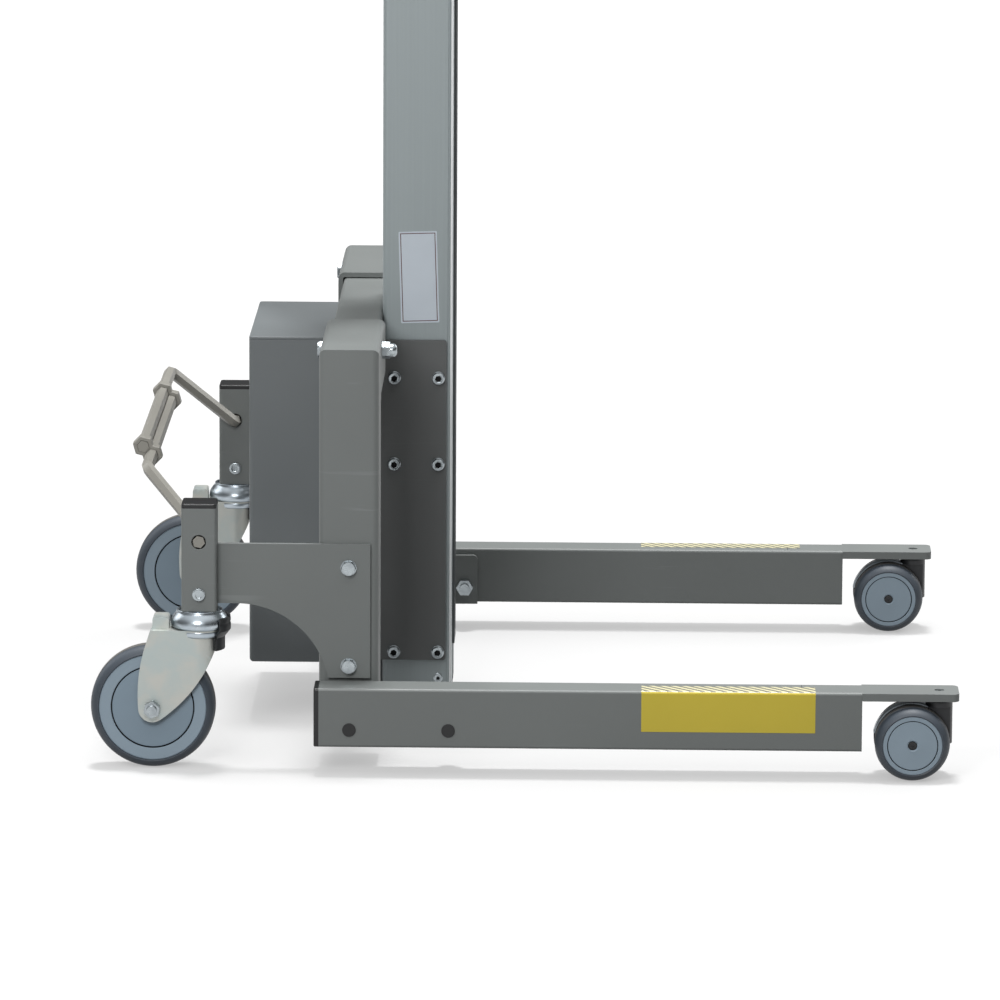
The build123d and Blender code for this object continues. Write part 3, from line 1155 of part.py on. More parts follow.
os.makedirs("parts", exist_ok=True)
for name, shape in PARTS.items():
    export_step(shape, os.path.join("parts", name + ".step"))
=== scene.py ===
# %% [markdown]
# Lifting trolley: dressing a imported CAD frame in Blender.
# The frame holds every part at full size, and joints that already work. This lesson adds what the
# frame can't carry: smooth turned wheels, bright zinc, powder coat, moulded plastic and small hardware.
# The units are metres, +X points along the legs, +Y to the left and +Z up the mast.

# %% Load the frame
import math

import bmesh
import bpy
from mathutils import Matrix, Vector


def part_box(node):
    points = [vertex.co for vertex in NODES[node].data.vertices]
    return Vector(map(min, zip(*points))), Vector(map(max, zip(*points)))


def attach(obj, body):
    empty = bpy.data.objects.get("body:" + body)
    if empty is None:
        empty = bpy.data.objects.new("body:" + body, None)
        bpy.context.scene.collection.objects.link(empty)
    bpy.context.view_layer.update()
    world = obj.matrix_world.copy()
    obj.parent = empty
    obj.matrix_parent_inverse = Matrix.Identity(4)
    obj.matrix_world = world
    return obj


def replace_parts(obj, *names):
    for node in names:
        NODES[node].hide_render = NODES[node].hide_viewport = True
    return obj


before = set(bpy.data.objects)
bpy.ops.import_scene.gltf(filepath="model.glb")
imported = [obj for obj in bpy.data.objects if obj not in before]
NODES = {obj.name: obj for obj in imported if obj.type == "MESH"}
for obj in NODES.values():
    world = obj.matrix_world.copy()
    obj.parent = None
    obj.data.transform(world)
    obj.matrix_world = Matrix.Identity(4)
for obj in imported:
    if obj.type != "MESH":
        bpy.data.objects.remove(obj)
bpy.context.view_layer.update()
MM = 0.001
SIDES = {"right": -1, "left": 1}


def middle(node):
    """Centre of a CAD node's box."""
    low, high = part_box(node)
    return (low + high) / 2


def add_object(name, data):
    """Object of a mesh, camera or lamp, linked to the scene."""
    thing = bpy.data.objects.new(name, data)
    bpy.context.scene.collection.objects.link(thing)
    return thing


# %% [markdown]
# The camera stands far off with a long lens, as for a catalogue picture, so parallel edges stay nearly parallel.
# Its place and angles were worked out from edges of known size. A matrix built from three directions holds the
# view exactly, where a Track To constraint would lose the slight tilt.

# %% Camera
CAMERA_PLACE = Vector((0.1006, -7.5623, 1.6668))
CAMERA_LENS = 265.6
CAMERA_PAN = -0.0174
CAMERA_DIP = 0.1905
CAMERA_TILT = 0.0051


def camera_turn(pan, dip, tilt):
    """Rotation of a camera that pans from +Y, dips below the horizon and tilts about its own line of sight."""
    ahead = Vector((math.sin(pan) * math.cos(dip), math.cos(pan) * math.cos(dip), -math.sin(dip)))
    across = Vector((math.cos(pan), -math.sin(pan), 0))
    upright = across.cross(ahead)
    right = across * math.cos(tilt) + upright * math.sin(tilt)
    top = upright * math.cos(tilt) - across * math.sin(tilt)
    return Matrix((right, top, -ahead)).transposed().to_4x4()


camera = add_object("camera", bpy.data.cameras.new("camera"))
camera.data.lens = CAMERA_LENS
camera.data.sensor_width = 36
camera.data.clip_end = 100
camera.matrix_world = Matrix.Translation(CAMERA_PLACE) @ camera_turn(CAMERA_PAN, CAMERA_DIP, CAMERA_TILT)
bpy.context.scene.camera = camera
print("camera at", tuple(round(v, 3) for v in camera.location))

# %% [markdown]
# Node trees are easier to read when each node takes one line. The helpers below place a node, set its values
# and link what it reads, all from one call. Every material and group of this lesson is written with them.

# %% Node helpers


def put(tree, kind, inputs=None, **settings):
    """Add a node; an input's value is either a number or colour, or a socket to link from."""
    node = tree.nodes.new(kind)
    for name, value in settings.items():
        setattr(node, name, value)
    for name, value in (inputs or {}).items():
        if isinstance(value, bpy.types.NodeSocket):
            tree.links.new(value, node.inputs[name])
        else:
            node.inputs[name].default_value = value
    return node


def calc(tree, operation, first, second=0.0, clamp=False):
    """One Math node."""
    return put(tree, "ShaderNodeMath", {0: first, 1: second}, operation=operation, use_clamp=clamp).outputs[0]


def remap(tree, value, low, high, to_low=0.0, to_high=1.0):
    """Smooth change from to_low to to_high while value runs from low to high."""
    inputs = {0: value, 1: low, 2: high, 3: to_low, 4: to_high}
    return put(tree, "ShaderNodeMapRange", inputs, interpolation_type="SMOOTHSTEP").outputs[0]


def mix_color(tree, factor, first, second):
    """Colour between two colours; a colour is a linear (r, g, b) or a socket."""
    ends = [c if isinstance(c, bpy.types.NodeSocket) else (*c, 1) for c in (first, second)]
    node = put(tree, "ShaderNodeMix", {0: factor, 6: ends[0], 7: ends[1]}, data_type="RGBA")
    return node.outputs[2]


def new_group(name, inputs):
    """Shader group with a Vector input, named number inputs, and the outputs Mask and Height."""
    group = bpy.data.node_groups.new(name, "ShaderNodeTree")
    group.interface.new_socket("Vector", in_out="INPUT", socket_type="NodeSocketVector")
    for label, value in inputs.items():
        group.interface.new_socket(label, in_out="INPUT", socket_type="NodeSocketFloat").default_value = value
    for label in ("Mask", "Height"):
        group.interface.new_socket(label, in_out="OUTPUT", socket_type="NodeSocketFloat")
    return group, put(group, "NodeGroupInput").outputs, put(group, "NodeGroupOutput").inputs


def noise(tree, vector, scale, detail=2.0, distortion=0.0):
    """Value of a noise texture."""
    inputs = {"Vector": vector, "Scale": scale, "Detail": detail, "Distortion": distortion}
    return put(tree, "ShaderNodeTexNoise", inputs).outputs[0]


# %% [markdown]
# Powder coat melts into a skin with a fine orange peel, and its tone drifts a little over a large panel.
# Two noises of very different scale give both. The group puts out the drift as a mask and the peel as a height.

# %% Group: orange peel
PEEL, given, result = new_group("orange_peel", {"Grain": 900.0, "Drift": 6.0})
peel_fine = noise(PEEL, given["Vector"], given["Grain"], 1.0)
peel_drift = noise(PEEL, given["Vector"], given["Drift"], 3.0, 0.4)
PEEL.links.new(remap(PEEL, peel_drift, 0.3, 0.7), result["Mask"])
PEEL.links.new(peel_fine, result["Height"])
print("group", PEEL.name, "with", len(PEEL.nodes), "nodes")

# %% [markdown]
# Handling leaves short pale scratches that lie mostly one way. A noise stretched by a scaled vector gives the
# lines, and a second, coarse noise keeps them to a few patches, because real scuffs come in places.

# %% Group: scuffs
SCUFFS, given, result = new_group("scuffs", {"Along": 9.0, "Across": 260.0, "Amount": 0.5})
stretch = put(SCUFFS, "ShaderNodeCombineXYZ", {0: given["Along"], 1: given["Along"], 2: given["Across"]})
lines_at = put(SCUFFS, "ShaderNodeVectorMath", {0: given["Vector"], 1: stretch.outputs[0]}, operation="MULTIPLY")
lines = remap(SCUFFS, noise(SCUFFS, lines_at.outputs[0], 1.0, 2.0, 0.6), 0.64, 0.72)
patches = remap(SCUFFS, noise(SCUFFS, given["Vector"], 11.0, 1.0), 0.52, 0.66)
scuffed = calc(SCUFFS, "MULTIPLY", calc(SCUFFS, "MULTIPLY", lines, patches), given["Amount"], clamp=True)
SCUFFS.links.new(scuffed, result["Mask"])
SCUFFS.links.new(scuffed, result["Height"])
print("group", SCUFFS.name, "with", len(SCUFFS.nodes), "nodes")

# %% [markdown]
# Dust gathers low down, on wheels and castors. Its mask fades out with height above the floor, and a noise
# breaks it up, so that no level line shows.

# %% Group: floor dust
DUST, given, result = new_group("floor_dust", {"Top": 0.1, "Amount": 0.5})
height_at = put(DUST, "ShaderNodeSeparateXYZ", {0: given["Vector"]}).outputs[2]
low_down = calc(DUST, "SUBTRACT", 1.0, calc(DUST, "DIVIDE", height_at, given["Top"]), clamp=True)
speckle = remap(DUST, noise(DUST, given["Vector"], 70.0, 4.0), 0.35, 0.75)
dusty = calc(DUST, "MULTIPLY", calc(DUST, "MULTIPLY", low_down, speckle), given["Amount"], clamp=True)
DUST.links.new(dusty, result["Mask"])
DUST.links.new(speckle, result["Height"])
print("group", DUST.name, "with", len(DUST.nodes), "nodes")

# %% [markdown]
# A material is a small recipe: a base colour, a second colour that a mask brings in, and a bump. The function
# below wires one with any of the groups, so that each finish of the trolley is a short call.

# %% Material builder


def make_finish(name, color, roughness, layers, bump=0.0, bump_depth=0.0002, rough_swing=0.0, **constants):
    """Principled material on Object coordinates.

    layers is a list of (group, values, colour, strength): each brings its colour in where its mask is.
    The first layer's height also drives the bump, and rough_swing roughens what the first mask covers.
    """
    material = bpy.data.materials.new(name)
    material.use_nodes = True
    tree = material.node_tree
    shader = tree.nodes["Principled BSDF"]
    place = put(tree, "ShaderNodeTexCoord").outputs["Object"]
    shade = color
    first = None
    for group, values, tint, strength in layers:
        node = put(tree, "ShaderNodeGroup", {"Vector": place, **values}, node_tree=group)
        first = first or node
        factor = calc(tree, "MULTIPLY", node.outputs["Mask"], strength, clamp=True)
        shade = mix_color(tree, factor, shade, tint)
    tree.links.new(shade, shader.inputs["Base Color"])
    shader.inputs["Roughness"].default_value = roughness
    if rough_swing:
        rough = calc(tree, "MULTIPLY_ADD", first.outputs["Mask"], rough_swing)
        rough.node.inputs[2].default_value = roughness
        tree.links.new(rough, shader.inputs["Roughness"])
    if bump:
        inputs = {"Height": first.outputs["Height"], "Strength": bump, "Distance": bump_depth}
        tree.links.new(put(tree, "ShaderNodeBump", inputs).outputs[0], shader.inputs["Normal"])
    for label, value in constants.items():
        shader.inputs[label.replace("_", " ").title().replace("Ior", "IOR")].default_value = value
    return material


def tone(red, green, blue):
    """Linear colour of a screen colour from 0 to 255."""
    return tuple(((c / 255 + 0.055) / 1.055) ** 2.4 if c > 10 else c / 255 / 12.92 for c in (red, green, blue))


def lighter(color, factor):
    """The same hue, brighter or darker."""
    return tuple(min(1, c * factor) for c in color)


# %% [markdown]
# The welded frame has a neutral mid-grey powder coat. The battery housing is a touch bluer, and the brake bars
# warmer. The two mast plates are darker as painted shade, because the column and sleeve in front of them keep light
# off them. Paint is a dielectric: Metallic stays at zero, and the sheen on top faces comes from the grazing view
# alone.

# %% Finishes: paint
CHASSIS_GREY = tone(115, 119, 118)
HOUSING_GREY = tone(109, 114, 116)
# Darker than the chassis grey: painted shade on the mast plates.
SHADED_PLATE_GREY = tone(92, 94, 94)
BRAKE_GREY = tone(143, 141, 134)


def paint(name, color, roughness, scuffs):
    """Powder coat of one colour, with more or fewer scuffs."""
    layers = [
        (PEEL, {"Grain": 1100.0, "Drift": 5.0}, lighter(color, 1.12), 0.6),
        (SCUFFS, {"Amount": scuffs}, lighter(color, 1.9), 0.5),
    ]
    return make_finish(name, color, roughness, layers, bump=0.25, bump_depth=0.0001, rough_swing=0.06)


CHASSIS = paint("chassis_powder_coat", CHASSIS_GREY, 0.46, 0.5)
HOUSING = paint("housing_powder_coat", HOUSING_GREY, 0.46, 0.2)
SHADED_PLATE = paint("mast_plate_painted_shade", SHADED_PLATE_GREY, 0.5, 0.15)
BRAKE = paint("brake_bar_paint", BRAKE_GREY, 0.4, 0.5)
print("paints:", CHASSIS.name, HOUSING.name, SHADED_PLATE.name, BRAKE.name)

# %% [markdown]
# The mast is an anodised aluminium extrusion. The press leaves faint lines along its length, so the noise is
# stretched along Z. Bright zinc is a true metal, with Metallic at one. Cloudy passivation dulls the fork, so
# there Metallic is lower.

# %% Finishes: metals
EXTRUSION, given, result = new_group("extrusion_lines", {"Fine": 420.0, "Long": 3.0})
line_scale = put(EXTRUSION, "ShaderNodeCombineXYZ", {0: given["Fine"], 1: given["Fine"], 2: given["Long"]})
line_at = put(EXTRUSION, "ShaderNodeVectorMath", {0: given["Vector"], 1: line_scale.outputs[0]},
              operation="MULTIPLY")
drawn = noise(EXTRUSION, line_at.outputs[0], 1.0, 3.0)
EXTRUSION.links.new(remap(EXTRUSION, drawn, 0.3, 0.7), result["Mask"])
EXTRUSION.links.new(drawn, result["Height"])

MAST_GREY = tone(151, 160, 162)
MAST = make_finish("mast_anodised", MAST_GREY, 0.42, [(EXTRUSION, {}, lighter(MAST_GREY, 1.06), 0.7)],
                   bump=0.06, bump_depth=0.00005, metallic=0.2)
BOLT_ZINC = make_finish("zinc_bolts", (0.4, 0.44, 0.46), 0.25,
                        [(PEEL, {"Grain": 240.0, "Drift": 90.0}, (0.3, 0.33, 0.35), 0.7)],
                        bump=0.05, rough_swing=0.12, metallic=1.0)
CUP_ZINC = make_finish("zinc_pressed_cup", (0.46, 0.51, 0.55), 0.27,
                       [(PEEL, {"Grain": 200.0, "Drift": 60.0}, (0.36, 0.42, 0.47), 0.6)],
                       bump=0.04, rough_swing=0.1, metallic=1.0)
FORK_ZINC = make_finish(
    "zinc_passivated", (0.47, 0.53, 0.52), 0.38,
    [(PEEL, {"Grain": 500.0, "Drift": 45.0}, (0.56, 0.56, 0.52), 0.9),
     (SCUFFS, {"Amount": 0.6, "Along": 60.0, "Across": 60.0}, (0.68, 0.76, 0.75), 0.7)],
    bump=0.06, rough_swing=0.1, metallic=0.55)
ALUMINIUM = make_finish("machined_aluminium", (0.6, 0.61, 0.62), 0.32,
                        [(EXTRUSION, {"Fine": 300.0, "Long": 40.0}, (0.52, 0.53, 0.54), 0.5)],
                        bump=0.05, metallic=0.9)
# The mast's front edge line is a painted highlight: a near-white finish.
PAINTED_HIGHLIGHT_EDGE = make_finish("painted_highlight_mast_edge", tone(250, 253, 254), 0.3,
                          [(EXTRUSION, {}, tone(242, 247, 248), 0.5)], bump=0.04)
print("metals:", MAST.name, BOLT_ZINC.name, CUP_ZINC.name, FORK_ZINC.name, ALUMINIUM.name)

# %% [markdown]
# Tyres are grey thermoplastic rubber, a little blue, and matt. The wheel centres are moulded in a lighter
# blue grey. Black plastic caps have a fine spark-eroded grain, which is the orange peel group at another scale.

# %% Finishes: plastics and rubber
TYRE_GREY = tone(62, 70, 79)
TREAD_GREY = tone(92, 90, 87)
HUB_GREY = tone(148, 165, 178)
DISC_GREY = tone(134, 152, 166)
BLACK = tone(32, 34, 37)
TYRE = make_finish("tyre_rubber", TYRE_GREY, 0.52,
                   [(PEEL, {"Grain": 1500.0, "Drift": 30.0}, lighter(TYRE_GREY, 1.12), 0.6),
                    (DUST, {"Top": 0.12, "Amount": 0.4}, tone(140, 138, 134), 0.2)],
                   bump=0.2, bump_depth=0.0001)
TREAD = make_finish("tyre_tread_dusty", TREAD_GREY, 0.6,
                    [(PEEL, {"Grain": 1200.0, "Drift": 60.0}, lighter(TREAD_GREY, 1.25), 0.7)],
                    bump=0.3, bump_depth=0.0001)


def moulded(name, color, roughness, grain=1800.0):
    """Moulded plastic or rubber of one colour."""
    layers = [
        (PEEL, {"Grain": grain, "Drift": 14.0}, lighter(color, 1.08), 0.6),
        (SCUFFS, {"Amount": 0.3, "Along": 40.0}, lighter(color, 1.5), 0.3),
    ]
    return make_finish(name, color, roughness, layers, bump=0.12, bump_depth=0.00008)


HUB = moulded("wheel_rim_plastic", HUB_GREY, 0.36)
DISC = moulded("wheel_disc_plastic", DISC_GREY, 0.34)
BLACK_PLASTIC = moulded("black_plastic", BLACK, 0.4)
CAP_PLASTIC = moulded("cap_plastic", tone(15, 16, 18), 0.42)
RAIL_PLASTIC = moulded("guide_rail_plastic", tone(92, 96, 98), 0.4)
# Near-black painted shade, for the floors of wheel grooves and the recesses of screw heads.
SHADOW_GAP = moulded("painted_shadow_gap", tone(18, 19, 21), 0.8)
BATTERY_PLASTIC = moulded("battery_case", tone(55, 56, 60), 0.5)
BUTTON_PLASTIC = moulded("button_plastic", tone(205, 207, 208), 0.28)
STOP_PLASTIC = moulded("stop_button_plastic", tone(190, 30, 28), 0.25)
BELT_RUBBER = moulded("belt_rubber", tone(38, 38, 40), 0.6, 900.0)
GRIP_RUBBER = moulded("grip_rubber", tone(36, 37, 39), 0.62, 700.0)
print("plastics and rubber ready")

# %% [markdown]
# A CAD node keeps its own mesh, because it is already the right shape. It only gets its finish, and, where it
# is a folded or welded steel part, modifiers that weld its loose triangles and round its edges by a fraction
# of a millimetre. A rounded edge catches a thin line of light, and a perfectly sharp one looks drawn.

# %% Dress the CAD nodes
FINISHES = {
    CHASSIS: ["cross_beam", "handle_bar", "sleeve", "column", "castor_arm", "castor_tube", "leg_tube", "leg_nose"],
    HOUSING: ["battery_box", "battery_lid"],
    # The mast plates and the gear motor take the darker plate coat, which is painted shade.
    SHADED_PLATE: ["mast_plate", "gear_motor"],
    MAST: ["mast_profile"],
    BOLT_ZINC: ["mast_screws", "idler_axle", "carriage_screws", "frame_bolts", "rear_axle"],
    CUP_ZINC: ["rear_castor_head"],
    FORK_ZINC: ["rear_fork"],
    ALUMINIUM: ["drive_pulley", "idler_pulley", "carriage_block", "tool_plate", "control_unit"],
    RAIL_PLASTIC: ["guide_rails"],
    BLACK_PLASTIC: ["mast_cap", "mast_foot", "guide_shoes", "control_box", "front_castor_body"],
    CAP_PLASTIC: ["plastic_plugs"],
    BATTERY_PLASTIC: ["battery_pack"],
    BUTTON_PLASTIC: ["lift_button", "lower_button"],
    STOP_PLASTIC: ["stop_button"],
    BELT_RUBBER: ["drive_belt"],
    GRIP_RUBBER: ["handle_grips"],
    TYRE: ["rear_wheel", "front_wheel_outer", "front_wheel_inner"],
    BRAKE: ["brake_bar", "pedal_holder"],
}
EDGE_ROUND = 0.5 * MM
ROUNDED = ("battery_box", "battery_lid", "castor_arm", "castor_tube", "leg_tube", "leg_nose", "mast_plate",
           "sleeve", "rear_axle", "tool_plate", "pedal_holder", "mast_screws", "frame_bolts", "carriage_block")


def family(name):
    """A node's name without its side."""
    for side in SIDES:
        if name.endswith("_" + side):
            return name[: -len(side) - 1]
    return name


def round_edges(piece, width, segments=2):
    """Weld loose triangles into flat faces, bevel the sharp edges and let large faces rule the shading."""
    weld = piece.modifiers.new("weld", "WELD")
    weld.merge_threshold = 0.00001
    flats = piece.modifiers.new("flats", "DECIMATE")
    flats.decimate_type = "DISSOLVE"
    flats.angle_limit = math.radians(0.5)
    bevel = piece.modifiers.new("round", "BEVEL")
    bevel.width = width
    bevel.segments = segments
    bevel.limit_method = "ANGLE"
    bevel.angle_limit = math.radians(35)
    shading = piece.modifiers.new("shading", "WEIGHTED_NORMAL")
    shading.weight = 100


for finish, families in FINISHES.items():
    for name, node in NODES.items():
        if family(name) in families:
            node.data.materials.clear()
            node.data.materials.append(finish)
for name, node in NODES.items():
    if family(name) in ROUNDED:
        round_edges(node, EDGE_ROUND)
undressed = [n for n, o in NODES.items() if not o.data.materials]
print("dressed:", len(NODES) - len(undressed), "nodes, without a finish:", undressed)

# %% [markdown]
# Turned parts are outlines of (radius, along) points in millimetres, swept round, and other small forms are
# rings of points, joined. Writing the rings by hand keeps the seams closed and the faces outwards. Marking
# edges sharp by angle leaves curved flanks smooth while corners stay crisp. Clearing a mesh's materials also
# clears its faces' material numbers, so link_mesh notes them first and sets them again.

# %% Mesh helpers


def link_mesh(name, mesh, body, material, smooth_angle=35):
    """Make an object of a finished mesh, give it its material or materials and let it ride on its body."""
    finishes = material if isinstance(material, (list, tuple)) else [material]
    numbers = [min(face.material_index, len(finishes) - 1) for face in mesh.polygons]
    mesh.materials.clear()
    for finish in finishes:
        mesh.materials.append(finish)
    mesh.polygons.foreach_set("material_index", numbers)
    mesh.polygons.foreach_set("use_smooth", [True] * len(mesh.polygons))
    mesh.set_sharp_from_angle(angle=math.radians(smooth_angle))
    piece = add_object(name, mesh)
    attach(piece, body)
    return piece


def closed_mesh(form, name):
    """Mesh of a finished form, with its faces turned outwards."""
    bmesh.ops.recalc_face_normals(form, faces=form.faces)
    mesh = bpy.data.meshes.new(name)
    form.to_mesh(mesh)
    form.free()
    return mesh


def ring_mesh(name, rings):
    """Solid through rings of as many points each, closed at both ends."""
    form = bmesh.new()
    loops = [[form.verts.new(point) for point in ring] for ring in rings]
    for lower, upper in zip(loops, loops[1:]):
        for k in range(len(lower)):
            after = (k + 1) % len(lower)
            form.faces.new((lower[k], lower[after], upper[after], upper[k]))
    form.faces.new(loops[0])
    form.faces.new(loops[-1])
    return closed_mesh(form, name)


def turned_mesh(name, outline, matrix, steps=96):
    """Closed outline of (radius, along) points turned about local Z; points on the axis close the form."""
    form = bmesh.new()
    turns = [2 * math.pi * k / steps for k in range(steps)]
    rings = []
    for radius, along in outline:
        r, z = radius * MM, along * MM
        if radius:
            rings.append([form.verts.new((r * math.cos(a), r * math.sin(a), z)) for a in turns])
        else:
            rings.append([form.verts.new((0, 0, z))] * steps)
    touches_axis = not outline[0][0]
    pairs = list(zip(rings, rings[1:])) + ([] if touches_axis else [(rings[-1], rings[0])])
    for lower, upper in pairs:
        for k in range(steps):
            loop = [lower[k], lower[(k + 1) % steps], upper[(k + 1) % steps], upper[k]]
            corners = list(dict.fromkeys(loop))
            if len(corners) > 2:
                form.faces.new(corners)
    form.transform(matrix)
    return closed_mesh(form, name)


def mirrored(half):
    """Whole outline from the half of it that lies at or above zero along."""
    return half + [(radius, -along) for radius, along in reversed(half) if along > 0]


def paint_bands(mesh, centre, bands):
    """Give a wheel's faces material numbers by (number, low, high), a range of radii in millimetres."""
    for face in mesh.polygons:
        offset = face.center - centre
        radius = math.hypot(offset.x, offset.z) / MM
        for number, low, high in bands:
            if low <= radius <= high:
                face.material_index = number


def axle_place(point):
    """Matrix that turns local Z into +Y at a point."""
    return Matrix.Translation(point) @ Matrix.Rotation(-math.pi / 2, 4, "X")


# %% [markdown]
# Each rear wheel is a plastic rim with a press-in disc, a dark ring-shaped gap between them, and a tyre that bulges
# past the rim. The gap is a real groove, because a painted ring would vanish in a side view. Its floor and walls are
# painted near black as shade, and the disc gets a material of its own, both by how far each face lies from the axle.

# %% Rear wheels
REAR_R = 62.5
REAR_HALF_W = 16
REAR_SEAT_R = 53.8
REAR_RING_R = 41.9
REAR_BORE_R = 5.08
REAR_BOSS_R = 12
REAR_FACE = 14.2
REAR_LIP_R = 54.95
REAR_SHOULDER = 10.4
GROOVE_W = 1.3
TREAD_STEP = 0.35
BAND_EDGE = 0.15
GROOVE_EDGE = 0.05


def shoulder_arc(tread_r, lip_r, half_w, width, count=16):
    """Round shoulder from the lip at half_w up to the edge of the tread, level where it meets the tread."""
    rise = tread_r - TREAD_STEP - lip_r
    arc_r = (rise ** 2 + width ** 2) / (2 * rise)
    sweep = 2 * math.atan2(rise, width)
    angles = [sweep * (1 - k / count) for k in range(count + 1)]
    return [(lip_r + rise - arc_r * (1 - math.cos(a)), half_w - width + arc_r * math.sin(a)) for a in angles]


def tread_edge(tread_r, edge):
    """Fine groove and step between a shoulder and the running band, at a distance from the middle."""
    return [(tread_r - 0.75, edge - 0.15), (tread_r - 0.1, edge - 0.5), (tread_r, edge - 1.1)]


def rear_tyre_outline():
    """Tyre section with two equal shoulders."""
    half = [(REAR_SEAT_R, 0), (REAR_SEAT_R, REAR_HALF_W - 0.9), (REAR_SEAT_R + 0.4, REAR_HALF_W - 0.2)]
    half += shoulder_arc(REAR_R, REAR_LIP_R, REAR_HALF_W, REAR_SHOULDER)
    return mirrored(half + tread_edge(REAR_R, REAR_HALF_W - REAR_SHOULDER))


def rear_rim_outline():
    """Rim section with a central boss, a recessed disc and the groove round it."""
    boss, face, disc_r = REAR_HALF_W - 0.4, REAR_FACE, REAR_RING_R - GROOVE_W
    return mirrored([
        (REAR_BORE_R, 0), (REAR_BORE_R, boss), (REAR_BOSS_R, boss), (REAR_BOSS_R + 1.2, face - 0.9),
        (disc_r - 2.0, face - 0.7), (disc_r - 0.4, face - 0.9), (disc_r, face - 1.2), (disc_r, face - 4.2),
        (REAR_RING_R, face - 4.2), (REAR_RING_R, face - 0.5), (REAR_RING_R + 0.5, face),
        (REAR_SEAT_R - 0.8, face + 0.4), (REAR_SEAT_R - 0.05, face - 0.1), (REAR_SEAT_R - 0.05, 0)])


for side in SIDES:
    body = "rear_wheel_" + side
    hub_centre = middle(body)
    tyre = turned_mesh("rear_tyre_" + side, rear_tyre_outline(), axle_place(hub_centre), 128)
    paint_bands(tyre, hub_centre, [(1, REAR_R - BAND_EDGE, REAR_R)])
    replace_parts(link_mesh("rear_tyre_" + side, tyre, body, [TYRE, TREAD]), "rear_wheel_" + side)
    rim = turned_mesh("rear_rim_" + side, rear_rim_outline(), axle_place(hub_centre), 128)
    disc_r = REAR_RING_R - GROOVE_W
    # Band 2, the groove, takes the near-black painted shade.
    paint_bands(rim, hub_centre, [(1, 0, disc_r), (2, disc_r - GROOVE_EDGE, REAR_RING_R + GROOVE_EDGE)])
    link_mesh("rear_rim_" + side, rim, body, [HUB, DISC, SHADOW_GAP], 25)
print("rear wheels: tyre", len(tyre.polygons), "faces, rim", len(rim.polygons), "faces")

# %% [markdown]
# The front castors have a pair of small wheels each. A tyre is full and round outside, where it is seen, and
# nearly square inside, so its outline isn't symmetrical. The running band is rougher and dusty, and a fine
# step parts it from the shoulder. One loop turns the tyre, the disc and the axle plug of all four wheels.

# %% Front wheels
FRONT_R = 37.5
FRONT_HALF_W = 11
FRONT_SEAT_R = 29.6
FRONT_RING_R = 25.4
FRONT_DISC_R = 24.6
FRONT_BORE_R = 4.08
FRONT_LIP_R = 30.8
FRONT_SHOULDER = 11.5
FRONT_TREAD_W = 9.3
PLUG_R = 4.5


def front_tyre_outline():
    """Tyre section from the outer lip over the round shoulder and the tread to the square inner edge."""
    edge = FRONT_HALF_W - FRONT_SHOULDER
    inner_edge = edge - FRONT_TREAD_W
    outline = [(FRONT_SEAT_R, 0.3 - FRONT_HALF_W), (FRONT_SEAT_R, FRONT_HALF_W - 0.6)]
    outline += shoulder_arc(FRONT_R, FRONT_LIP_R, FRONT_HALF_W, FRONT_SHOULDER) + tread_edge(FRONT_R, edge)
    return outline + [(FRONT_R, inner_edge), (FRONT_R - 0.4, inner_edge - 0.8),
                      (FRONT_R - 1.3, -FRONT_HALF_W), (FRONT_LIP_R, -FRONT_HALF_W)]


def front_rim_outline():
    """Rim section with a pocket for the axle plug, a disc and the groove round it."""
    face, ring_r, seat_r = FRONT_HALF_W - 0.6, FRONT_RING_R, FRONT_SEAT_R
    return mirrored([
        (FRONT_BORE_R, 0), (FRONT_BORE_R, face - 3), (PLUG_R + 0.1, face - 3), (PLUG_R + 0.1, face - 1.4),
        (PLUG_R + 1.3, face - 0.4), (PLUG_R + 1.9, face - 0.5), (FRONT_DISC_R - 0.4, face - 0.5),
        (FRONT_DISC_R, face - 0.8), (FRONT_DISC_R, face - 2.6), (ring_r, face - 2.6), (ring_r, face - 0.3),
        (ring_r + 0.3, face), (seat_r - 0.5, face + 0.1), (seat_r - 0.05, face - 0.3), (seat_r - 0.05, 0)])


def plug_outline():
    """Black axle plug with a small hole in its middle."""
    face = FRONT_HALF_W - 1.9
    return [(0, face - 3), (PLUG_R, face - 3), (PLUG_R, face - 0.5), (PLUG_R - 0.5, face),
            (1.4, face - 0.2), (1.1, face - 1.6), (0, face - 1.6)]


for side, sign in SIDES.items():
    for which, away in (("outer", sign), ("inner", -sign)):
        body = "front_wheel_%s_%s" % (which, side)
        centre = middle(body)
        outward = axle_place(centre) @ Matrix.Rotation(0 if away > 0 else math.pi, 4, "X")
        tyre = turned_mesh(body, front_tyre_outline(), outward)
        paint_bands(tyre, centre, [(1, FRONT_R - BAND_EDGE, FRONT_R)])
        name = "front_tyre_%s_%s" % (which, side)
        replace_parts(link_mesh(name, tyre, body, [TYRE, TREAD]), body)
        rim = turned_mesh(body, front_rim_outline(), outward)
        # The groove round the disc is painted near black as shade.
        paint_bands(rim, centre, [(1, 0, FRONT_DISC_R), (2, FRONT_DISC_R - GROOVE_EDGE, FRONT_RING_R + GROOVE_EDGE)])
        link_mesh("front_disc_%s_%s" % (which, side), rim, body, [HUB, HUB, SHADOW_GAP], 25)
        plug = turned_mesh(body, plug_outline(), outward, 48)
        link_mesh("front_plug_%s_%s" % (which, side), plug, body, CAP_PLASTIC)
print("front wheels: tyre, disc and plug on", 2 * len(SIDES), "axles")

# %% [markdown]
# Between the twin wheels runs a bright metal hood that keeps their tops apart and clean. It is a strip bent
# round the axle, so it is drawn as a section swept over an arc, with its edges rolled a little inwards.

# %% Front castor hoods
HOOD_R = 39.3
HOOD_HALF_W = 7.0
HOOD_FROM, HOOD_TO = math.radians(64), math.radians(168)
HOOD_STEPS = 28


